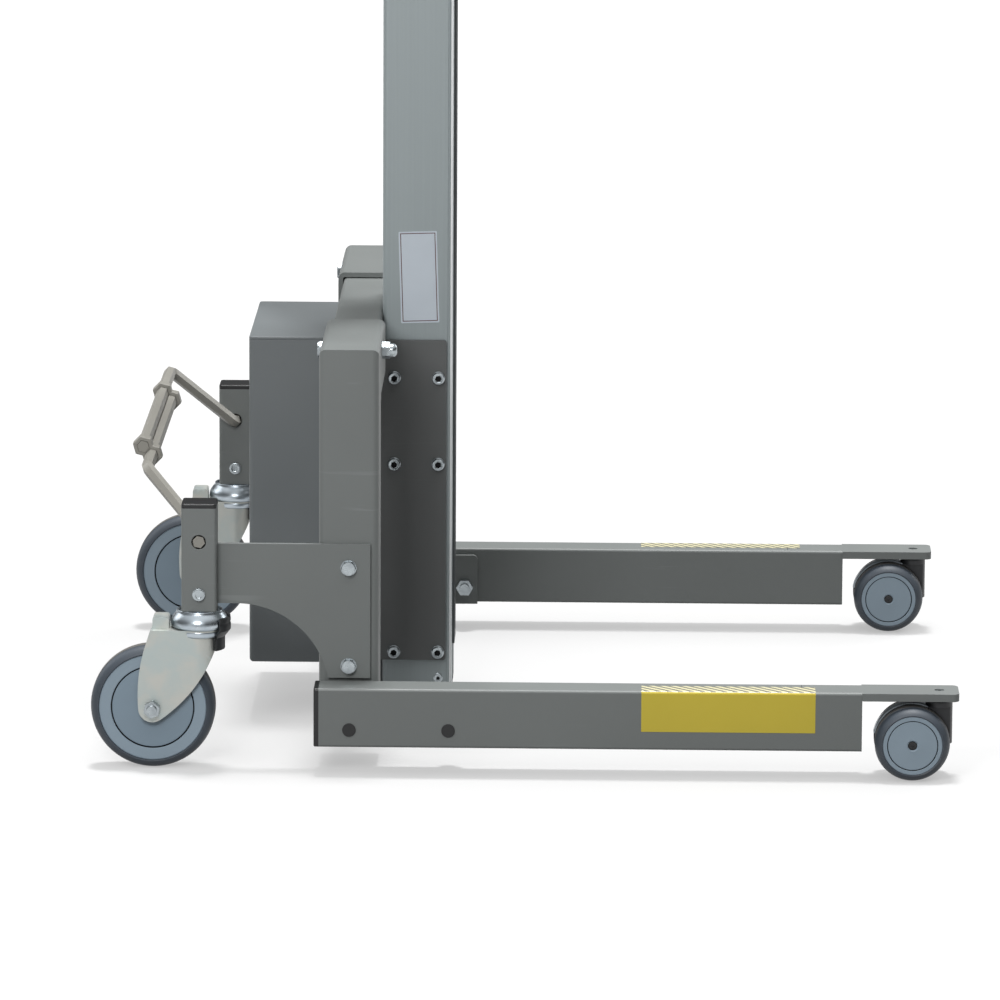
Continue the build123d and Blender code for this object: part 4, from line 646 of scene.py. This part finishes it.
def hood_mesh(name, centre):
    """Bent strip round a wheel axle along Y."""
    half = [(HOOD_R - 1.2, HOOD_HALF_W - 1), (HOOD_R - 1.6, HOOD_HALF_W),
            (HOOD_R - 0.4, HOOD_HALF_W), (HOOD_R, HOOD_HALF_W - 1.2)]
    rings = []
    for k in range(HOOD_STEPS + 1):
        a = HOOD_FROM + (HOOD_TO - HOOD_FROM) * k / HOOD_STEPS
        rings.append([centre + Vector((r * math.cos(a), y, r * math.sin(a))) * MM for r, y in mirrored(half)])
    return ring_mesh(name, rings)


for side in SIDES:
    outer, inner = middle("front_wheel_outer_" + side), middle("front_wheel_inner_" + side)
    name = "castor_hood_" + side
    link_mesh(name, hood_mesh(name, (outer + inner) / 2), "front_castor_" + side, CUP_ZINC, 40)
print("hoods of radius", HOOD_R, "mm")

# %% [markdown]
# The swivel head is pressed from bright zinc sheet, so it mirrors the studio. Facets would show at once, so
# the cup is turned again here from a smooth outline, with its spigot and king pin where the frame has them. The
# lower race under it turns with the fork and gets a ring of the same finish.

# %% Swivel heads
STEM_X = middle("castor_tube_right").x
HEAD_LOW = 142.5 * MM
CUP_OUTLINE = [
    (0, -10), (6, -10), (6, 0), (25.4, 0), (26.6, 0.4), (27.8, 1.2), (28.6, 2.4), (29, 4), (29, 5.4),
    (28.7, 7.4), (28.1, 9.2), (27.2, 11), (26, 12.8), (24.6, 14.4), (23.6, 15.6), (23.1, 16.8), (23.1, 17.8),
    (22.6, 18.4), (21.8, 18.5), (20.6, 17.8), (20, 16.6), (14, 16.4), (14, 52), (12.5, 53.5), (0, 53.5)]
RACE_OUTLINE = [(20, -7.7), (22.6, -7.9), (24, -6.9), (24.6, -5.3),
                (24.75, -3.1), (24.4, -1.3), (23.2, -0.2), (20, -0.2)]
for side in SIDES:
    stem = Matrix.Translation((STEM_X, middle("castor_tube_" + side).y, HEAD_LOW))
    cup = turned_mesh("swivel_cup_" + side, CUP_OUTLINE, stem)
    piece = link_mesh("swivel_cup_" + side, cup, "side_" + side, CUP_ZINC, 50)
    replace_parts(piece, "rear_castor_head_" + side)
    race = turned_mesh("lower_race_" + side, RACE_OUTLINE, stem)
    link_mesh("lower_race_" + side, race, "rear_fork_" + side, CUP_ZINC, 50)
print("swivel cups turned with", len(cup.polygons), "faces each")

# %% [markdown]
# The fork's node holds two solids, the zinc fork and the black cover of its swivel. A copy of the node is
# merged and parted into its loose shells, so that each gets its own finish. The sheet edges of the fork are
# rounded more than the frame's, because a press leaves them so, and they draw the bright line under the cup.

# %% Forks and swivel covers


def shells(node):
    """Loose shells of a CAD node as merged meshes, each with the greatest X that it reaches."""
    whole = bmesh.new()
    whole.from_mesh(node.data)
    bmesh.ops.remove_doubles(whole, verts=whole.verts, dist=0.00001)
    whole.verts.index_update()
    left = set(whole.verts)
    found = []
    while left:
        shell, edge = set(), [next(iter(left))]
        while edge:
            corner = edge.pop()
            if corner in shell:
                continue
            shell.add(corner)
            edge += [link.other_vert(corner) for link in corner.link_edges]
        left -= shell
        numbers = {corner: k for k, corner in enumerate(sorted(shell, key=lambda c: c.index))}
        faces = [[numbers[c] for c in face.verts] for face in whole.faces if face.verts[0] in shell]
        mesh = bpy.data.meshes.new(node.name + "_shell")
        mesh.from_pydata([tuple(c.co) for c in numbers], [], faces)
        found.append((max(c.co.x for c in shell), mesh))
    whole.free()
    return sorted(found, key=lambda item: item[0])


for side in SIDES:
    (fork_reach, fork_shell), (cover_reach, cover_shell) = shells(NODES["rear_fork_" + side])
    body = "rear_fork_" + side
    fork = link_mesh("zinc_fork_" + side, fork_shell, body, FORK_ZINC, 30)
    round_edges(fork, 0.9 * MM, 3)
    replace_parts(fork, "rear_fork_" + side)
    cover = link_mesh("swivel_cover_" + side, cover_shell, body, BLACK_PLASTIC, 30)
    round_edges(cover, 0.3 * MM)
    print("fork and cover parted at x =", round(fork_reach, 4), round(cover_reach, 4))

# %% [markdown]
# The foot plate of each column stands a little lower than the leg that it is bolted to. On the trolley the two
# end level, so a merged copy of the column is cut off just above the leg's lower face and closed again.

# %% Column feet
FOOT_CUT = 27.6 * MM
for side in SIDES:
    form = bmesh.new()
    form.from_mesh(NODES["column_" + side].data)
    bmesh.ops.remove_doubles(form, verts=form.verts, dist=0.00001)
    whole = form.verts[:] + form.edges[:] + form.faces[:]
    cut = bmesh.ops.bisect_plane(form, geom=whole, plane_co=(0, 0, FOOT_CUT), plane_no=(0, 0, -1), clear_outer=True)
    rim = [edge for edge in cut["geom_cut"] if isinstance(edge, bmesh.types.BMEdge)]
    bmesh.ops.triangle_fill(form, edges=rim, use_beauty=True, use_dissolve=False)
    column = closed_mesh(form, "level_column_" + side)
    level = link_mesh("level_column_" + side, column, "side_" + side, CHASSIS, 30)
    round_edges(level, EDGE_ROUND)
    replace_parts(level, "column_" + side)
print("columns cut level at", FOOT_CUT, "m")

# %% [markdown]
# Socket screws hold the mast plates. Those of one kind are alike, so one is modelled and Geometry Nodes set it on a
# mesh of points. An attribute of the point gives each screw its direction, and a seeded random turn about its own
# axis keeps the hexagons from lining up, as on a real assembly. A second attribute, on the faces of the recess, lets
# the tree paint them near black as shade, because at this size a recess shows as a dark dot.

# %% Hardware helpers


def flat_ring(radius, height, hexagon=False, count=24):
    """Level ring of points: a circle, or a hexagon with that radius to its flats."""
    sector = math.pi / 3
    ring = []
    for k in range(count):
        angle = 2 * math.pi * k / count
        reach = radius / math.cos(angle % sector - sector / 2) if hexagon else radius
        ring.append((reach * math.cos(angle), reach * math.sin(angle), height))
    return ring


def socket_head(name, head_r, height, recess):
    """Cylinder head on a thin washer, with a hexagon recess whose faces are marked for a darker finish as painted
    shade.
    """
    washer_r = head_r * 1.07
    mesh = ring_mesh(name, [
        flat_ring(washer_r, 0), flat_ring(washer_r, height * 0.16), flat_ring(head_r, height * 0.2),
        flat_ring(head_r, height * 0.86), flat_ring(head_r * 0.9, height), flat_ring(recess * 0.68, height),
        flat_ring(recess / 2, height - 0.3 * MM, True), flat_ring(recess / 2, height * 0.45, True),
        flat_ring(recess * 0.12, height * 0.38)])
    marks = mesh.attributes.new("recess", "BOOLEAN", "FACE")
    for face in mesh.polygons:
        inside = math.hypot(face.center.x, face.center.y) < recess * 0.56
        marks.data[face.index].value = inside and face.center.z > height * 0.3
    return mesh


# %% [markdown]
# The tree takes the points, the one head and a seed by name, sets a head on each point and makes the result
# real. It is run once for each body, and what it gives is kept as a plain mesh that rides on that body.

# %% Geometry Nodes: fasteners on points


def fastener_tree(name, material):
    """Tree that sets one head on every point, along the point's direction, with a random turn."""
    tree = bpy.data.node_groups.new(name, "GeometryNodeTree")
    face = tree.interface
    face.new_socket("Places", in_out="INPUT", socket_type="NodeSocketGeometry")
    face.new_socket("Head", in_out="INPUT", socket_type="NodeSocketObject")
    face.new_socket("Seed", in_out="INPUT", socket_type="NodeSocketInt").default_value = 7
    face.new_socket("Fasteners", in_out="OUTPUT", socket_type="NodeSocketGeometry")
    given = put(tree, "NodeGroupInput").outputs
    head = put(tree, "GeometryNodeObjectInfo", {"Object": given["Head"]})
    out_way = put(tree, "GeometryNodeInputNamedAttribute", {"Name": "out"}, data_type="FLOAT_VECTOR")
    aim = put(tree, "FunctionNodeAlignRotationToVector", {"Vector": out_way.outputs[0]}, axis="Z")
    spin = put(tree, "FunctionNodeRandomValue", {"Seed": given["Seed"]}, data_type="FLOAT")
    spin.inputs[3].default_value = math.pi
    turn = put(tree, "FunctionNodeAxisAngleToRotation", {"Axis": (0, 0, 1), "Angle": spin.outputs[1]})
    both = put(tree, "FunctionNodeRotateRotation", {0: aim.outputs[0], 1: turn.outputs[0]}, rotation_space="LOCAL")
    scattered = put(tree, "GeometryNodeInstanceOnPoints",
                    {"Points": given["Places"], "Instance": head.outputs["Geometry"], "Rotation": both.outputs[0]})
    real = put(tree, "GeometryNodeRealizeInstances", {0: scattered.outputs[0]})
    coated = put(tree, "GeometryNodeSetMaterial", {"Geometry": real.outputs[0], "Material": material})
    # The recess faces get the near-black painted shade.
    recess = put(tree, "GeometryNodeInputNamedAttribute", {"Name": "recess"}, data_type="BOOLEAN")
    painted_recess_shade = put(tree, "GeometryNodeSetMaterial",
               {"Geometry": coated.outputs[0], "Selection": recess.outputs[0], "Material": SHADOW_GAP})
    tree.links.new(painted_recess_shade.outputs[0], put(tree, "NodeGroupOutput").inputs[0])
    return tree


def plain_mesh(name, source, tree, values):
    """Run a tree on an object once and keep the result as a plain mesh."""
    modifier = source.modifiers.new("tree", "NODES")
    modifier.node_group = tree
    for item in tree.interface.items_tree:
        if item.in_out == "INPUT" and item.name in values:
            modifier[item.identifier] = values[item.name]
    graph = bpy.context.evaluated_depsgraph_get()
    mesh = bpy.data.meshes.new_from_object(source.evaluated_get(graph))
    mesh.name = name
    source.modifiers.remove(modifier)
    bpy.data.objects.remove(source)
    return mesh


def set_fasteners(name, head_mesh, places, material, body):
    """Fasteners of one kind on a list of (point, direction)."""
    dots = bpy.data.meshes.new(name + "_points")
    dots.from_pydata([tuple(point) for point, way in places], [], [])
    ways = dots.attributes.new("out", "FLOAT_VECTOR", "POINT")
    ways.data.foreach_set("vector", [c for point, way in places for c in way])
    source = add_object(name + "_points", dots)
    head = add_object(name + "_head", head_mesh)
    mesh = plain_mesh(name, source, fastener_tree(name, material), {"Head": head, "Seed": len(places)})
    bpy.data.objects.remove(head)
    return link_mesh(name, mesh, body, [material, material, SHADOW_GAP], 30)


# %% [markdown]
# Twelve socket screws clamp the two mast plates, three rows of two on each side. A smaller screw sits low on
# both sides of the mast, and each castor tube's clamp screw shows as a round cap on its right-hand face.

# %% Mast screws
PLATE_Y = abs(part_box("mast_plate_right")[0].y)
SCREW_XS = (-139.5 * MM, -94.0 * MM)
SCREW_ZS = (59.8 * MM, 258.3 * MM, 348.7 * MM)
LOW_SCREW = (-93.5 * MM, 60 * MM, 31.0 * MM)
PINCH_OUT, PINCH_Z = 20.7 * MM, 179 * MM
M8_HEAD = (6.3 * MM, 7.0 * MM, 6.0 * MM)
LOW_HEAD = (4.6 * MM, 2.6 * MM, 3.4 * MM)
PINCH_HEAD = (5.9 * MM, 1.2 * MM, 5.6 * MM)
screw_places = []
for sign in SIDES.values():
    screw_places += [((x, sign * PLATE_Y, z), (0, sign, 0)) for x in SCREW_XS for z in SCREW_ZS]
head = socket_head("m8_socket_head", *M8_HEAD)
screws = set_fasteners("mast_socket_screws", head, screw_places, BOLT_ZINC, "base")
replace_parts(screws, "mast_screws")
low_x, low_y, low_z = LOW_SCREW
low_places = [((low_x, sign * low_y, low_z), (0, sign, 0)) for sign in SIDES.values()]
low_head = socket_head("m6_low_head", *LOW_HEAD)
set_fasteners("mast_foot_screws", low_head, low_places, BOLT_ZINC, "base")
for side in SIDES:
    place = (STEM_X, middle("castor_tube_" + side).y - PINCH_OUT, PINCH_Z)
    cap = socket_head("pinch_cap_" + side, *PINCH_HEAD)
    set_fasteners("pinch_screw_face_" + side, cap, [(place, (0, -1, 0))], BOLT_ZINC, "side_" + side)
print("screws set:", len(screw_places), "+", len(low_places), "+", len(SIDES))

# %% [markdown]
# Thin printed films lie on the frame: a bare white rating plate with a fine dark red line, and a yellow film
# that wraps over each leg's edge, with pale diagonal bars on top. Each film is a thin solid, and its pattern
# is worked out from Object coordinates, so it stays put and needs no picture.

# %% Film helpers


def slab(name, corners, depth, way):
    """Thin plate from its outline, thickened by depth along way."""
    form = bmesh.new()
    base = [form.verts.new(c) for c in corners]
    face = form.faces.new(base)
    grown = bmesh.ops.extrude_face_region(form, geom=[face])
    moved = [v for v in grown["geom"] if isinstance(v, bmesh.types.BMVert)]
    bmesh.ops.translate(form, verts=moved, vec=Vector(way) * depth)
    return closed_mesh(form, name)


def print_over(material, mask, color):
    """Lay a colour over a material's own colour where a mask is one."""
    tree = material.node_tree
    target = tree.nodes["Principled BSDF"].inputs["Base Color"]
    tree.links.new(mix_color(tree, mask, target.links[0].from_socket, color), target)


def rounded_rectangle(half_x, half_z, radius, y, steps=6):
    """Outline about the middle, in the plane of a Y value."""
    points = []
    for way_x, way_z, start in ((1, 1, 0), (-1, 1, 90), (-1, -1, 180), (1, -1, 270)):
        for k in range(steps + 1):
            angle = math.radians(start + 90 * k / steps)
            points.append((way_x * (half_x - radius) + radius * math.cos(angle), y,
                           way_z * (half_z - radius) + radius * math.sin(angle)))
    return points


# %% [markdown]
# The plate is stuck on by hand and stands a little askew, so its outline is turned by under two degrees. Its
# line is drawn in the same turned frame, from the distance to the nearest edge.

# %% Rating plate
PLATE_MIDDLE = (-114.6 * MM, 452.9 * MM)
PLATE_SIZE = (39.6 * MM, 95.4 * MM)
PLATE_CORNER = 1.2 * MM
PLATE_TURN = math.radians(1.8)
LINE_INSET = 1.7 * MM
LINE_WIDTH = 0.85 * MM


def rating_material():
    """White film with a dark red line a little in from its edge, in the turned frame of the plate."""
    material = make_finish("rating_plate_film", tone(206, 215, 224), 0.35,
                           [(PEEL, {"Grain": 700.0, "Drift": 20.0}, tone(198, 207, 216), 0.6)], bump=0.03)
    tree = material.node_tree
    place = put(tree, "ShaderNodeTexCoord").outputs["Object"]
    turned = put(tree, "ShaderNodeMapping", {"Vector": place}, vector_type="TEXTURE")
    turned.inputs["Location"].default_value = (PLATE_MIDDLE[0], 0, PLATE_MIDDLE[1])
    turned.inputs["Rotation"].default_value = (0, -PLATE_TURN, 0)
    where = put(tree, "ShaderNodeSeparateXYZ", {0: turned.outputs[0]})
    gaps = []
    for output, size in ((0, PLATE_SIZE[0]), (2, PLATE_SIZE[1])):
        gaps.append(calc(tree, "SUBTRACT", size / 2, calc(tree, "ABSOLUTE", where.outputs[output])))
    edge = calc(tree, "MINIMUM", gaps[0], gaps[1])
    inside = calc(tree, "GREATER_THAN", edge, LINE_INSET)
    outside = calc(tree, "LESS_THAN", edge, LINE_INSET + LINE_WIDTH)
    print_over(material, calc(tree, "MULTIPLY", inside, outside), tone(84, 40, 42))
    return material


mast_low, mast_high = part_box("mast_profile")
half_x, half_z = PLATE_SIZE[0] / 2, PLATE_SIZE[1] / 2
outline = rounded_rectangle(half_x, half_z, PLATE_CORNER, mast_low.y)
turn_x, turn_z = math.cos(PLATE_TURN), math.sin(PLATE_TURN)
outline = [(PLATE_MIDDLE[0] + x * turn_x - z * turn_z, y, PLATE_MIDDLE[1] + x * turn_z + z * turn_x)
           for x, y, z in outline]
rating = slab("rating_plate", outline, 0.35 * MM, (0, -1, 0))
link_mesh("rating_plate", rating, "base", rating_material())
print("rating plate", PLATE_SIZE[0], "by", PLATE_SIZE[1], "m")

# %% [markdown]
# The mast's profile ends in a fine ridge in front, which catches the light as a bright line beside the darker guide
# rail. That line is a painted highlight: a thin near-white slab on the side face, as long as the profile, one on
# each side.

# %% Mast edge lines
EDGE_START, EDGE_END = -82.1 * MM, -80.0 * MM
for side, sign in SIDES.items():
    face_y = sign * mast_high.y
    corners = [(EDGE_START, face_y, mast_low.z), (EDGE_END, face_y, mast_low.z),
               (EDGE_END, face_y, mast_high.z), (EDGE_START, face_y, mast_high.z)]
    highlight_strip = slab("mast_ridge_" + side, corners, 0.15 * MM, (0, sign, 0))
    link_mesh("mast_ridge_" + side, highlight_strip, "base", PAINTED_HIGHLIGHT_EDGE)
print("mast ridges:", len(SIDES))

# %% [markdown]
# The film wraps from the leg's side over its rounded top edge. Its section follows the leg's outline, 0.3 mm
# outside it, and the bars start where the top begins.

# %% Yellow films
FILM_X = (117.5 * MM, 291.0 * MM)
FILM_LOW_Z = 47.5 * MM
FILM_REACH = 25 * MM
FILM_T = 0.3 * MM
BAR_PITCH = 11 * MM
CORNER_R = 3 * MM
LEG_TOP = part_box("leg_tube_right")[1].z


def film_material():
    """Yellow film whose top part has slanting pale and grey bars."""
    yellow = tone(212, 192, 66)
    material = make_finish("yellow_film", yellow, 0.38,
                           [(PEEL, {"Grain": 600.0, "Drift": 9.0}, lighter(yellow, 0.93), 0.6),
                            (SCUFFS, {"Amount": 0.5}, tone(170, 160, 90), 0.5)], bump=0.04)
    tree = material.node_tree
    where = put(tree, "ShaderNodeSeparateXYZ", {0: put(tree, "ShaderNodeTexCoord").outputs["Object"]})
    slant = calc(tree, "ADD", where.outputs[0], where.outputs[1])
    bars = calc(tree, "GREATER_THAN", calc(tree, "FRACT", calc(tree, "DIVIDE", slant, BAR_PITCH)), 0.5)
    on_top = calc(tree, "GREATER_THAN", where.outputs[2], LEG_TOP - 0.5 * MM)
    barred = mix_color(tree, bars, tone(214, 208, 170), tone(122, 122, 112))
    print_over(material, on_top, barred)
    return material


def film_mesh(name, outer_y, sign):
    """Film round the outer top edge of a leg; outer_y is the leg's outer face and sign points outwards."""
    section = [(outer_y, FILM_LOW_Z)]
    turns = [math.pi / 2 * k / 6 for k in range(7)]
    for a in turns:
        section.append((outer_y - sign * CORNER_R * (1 - math.cos(a)), LEG_TOP - CORNER_R * (1 - math.sin(a))))
    section.append((outer_y - sign * FILM_REACH, LEG_TOP))
    raised = [(y + sign * FILM_T * math.cos(a), z + FILM_T * math.sin(a))
              for (y, z), a in zip(section, [turns[0], *turns, turns[-1]])]
    ring = section + raised[::-1]
    return ring_mesh(name, [[(x, y, z) for y, z in ring] for x in FILM_X])


film = film_material()
for side, sign in SIDES.items():
    low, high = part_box("leg_tube_" + side)
    outer_y = high.y if sign > 0 else low.y
    wrap = film_mesh("yellow_film_" + side, outer_y, sign)
    link_mesh("yellow_film_" + side, wrap, "side_" + side, film)
print("films from x =", round(FILM_X[0], 3), "to", round(FILM_X[1], 3))

# %% [markdown]
# The floor is a plain pale plane. It is lit as the object is, and a little light of its own, which only the
# camera and reflections see, lifts it to white, while its shadow stays. Bounced light meets a darker paper.

# %% Floor
FLOOR_HALF = 40
FLOOR_LIFT = (0.43, 0.6)
corners = [(-1, -1), (1, -1), (1, 1), (-1, 1)]
floor_mesh = bpy.data.meshes.new("floor")
floor_mesh.from_pydata([(x * FLOOR_HALF, y * FLOOR_HALF, 0) for x, y in corners], [], [(0, 1, 2, 3)])
floor = add_object("floor", floor_mesh)
floor_paper = bpy.data.materials.new("floor_paper")
floor_paper.use_nodes = True
tree = floor_paper.node_tree
tree.nodes.clear()
rays = put(tree, "ShaderNodeLightPath").outputs
seen = calc(tree, "MAXIMUM", calc(tree, "MAXIMUM", rays["Is Camera Ray"], rays["Is Glossy Ray"]),
            rays["Is Transmission Ray"])
floor_place = put(tree, "ShaderNodeTexCoord").outputs["Object"]
far_off = put(tree, "ShaderNodeVectorMath", {0: floor_place}, operation="LENGTH")
lift = remap(tree, far_off.outputs["Value"], 0.8, 3.5, *FLOOR_LIFT)
glow = put(tree, "ShaderNodeEmission", {"Strength": calc(tree, "MULTIPLY", seen, lift)})
paper = mix_color(tree, seen, (0.12, 0.12, 0.12), (0.33, 0.33, 0.33))
matt = put(tree, "ShaderNodeBsdfDiffuse", {"Color": paper})
both = put(tree, "ShaderNodeAddShader", {0: matt.outputs[0], 1: glow.outputs[0]})
tree.links.new(both.outputs[0], put(tree, "ShaderNodeOutputMaterial").inputs[0])
floor_mesh.materials.append(floor_paper)
print("floor of", 2 * FLOOR_HALF, "m, lifted by", FLOOR_LIFT)

# %% [markdown]
# One broad lamp from above gives the shadows under the legs, and the world above the horizon fills them. A
# square softbox in front lights the faces that the camera sees. Three others fill from low in front and behind.

# %% Lamps and world
TOP_LIGHT = 2.8
TOP_ANGLE = 9
TOP_TURN = (math.radians(-8), math.radians(1), 0)
WORLD_LOW, WORLD_HIGH = 0.09, 1.3
LAMP_AIM = Vector((0, -0.2, 0.3))
SOFTBOXES = {
    "front_softbox": ((-0.55, -2.1, 1.22), 0.6, 19),
    "front_low_fill": ((-1.7, -2.2, 0.5), 0.9, 2),
    "rear_left_fill": ((1.7, 1.9, 1.4), 1.2, 22),
    "rear_right_fill": ((-2.3, 0.9, 1.3), 1.2, 12),
}
sun = add_object("soft_top_light", bpy.data.lights.new("soft_top_light", "SUN"))
sun.data.energy = TOP_LIGHT
sun.data.angle = math.radians(TOP_ANGLE)
sun.rotation_euler = TOP_TURN
for name, (place, size, power) in SOFTBOXES.items():
    lamp = add_object(name, bpy.data.lights.new(name, "AREA"))
    lamp.data.energy = power
    lamp.data.size = size
    lamp.visible_camera = False
    aim = (LAMP_AIM - Vector(place)).to_track_quat("-Z", "Y")
    lamp.matrix_world = Matrix.Translation(place) @ aim.to_matrix().to_4x4()

world = bpy.data.worlds.new("studio")
bpy.context.scene.world = world
world.use_nodes = True
tree = world.node_tree
background = tree.nodes["Background"]
direction = put(tree, "ShaderNodeSeparateXYZ", {0: put(tree, "ShaderNodeTexCoord").outputs["Generated"]})
bright = remap(tree, direction.outputs[2], 0.4, 1.0, WORLD_LOW, WORLD_HIGH)
tree.links.new(bright, background.inputs["Strength"])
background.inputs["Color"].default_value = (1, 1, 1, 1)
bpy.context.scene.view_settings.view_transform = "Standard"
print("lamps:", sun.name, *SOFTBOXES)
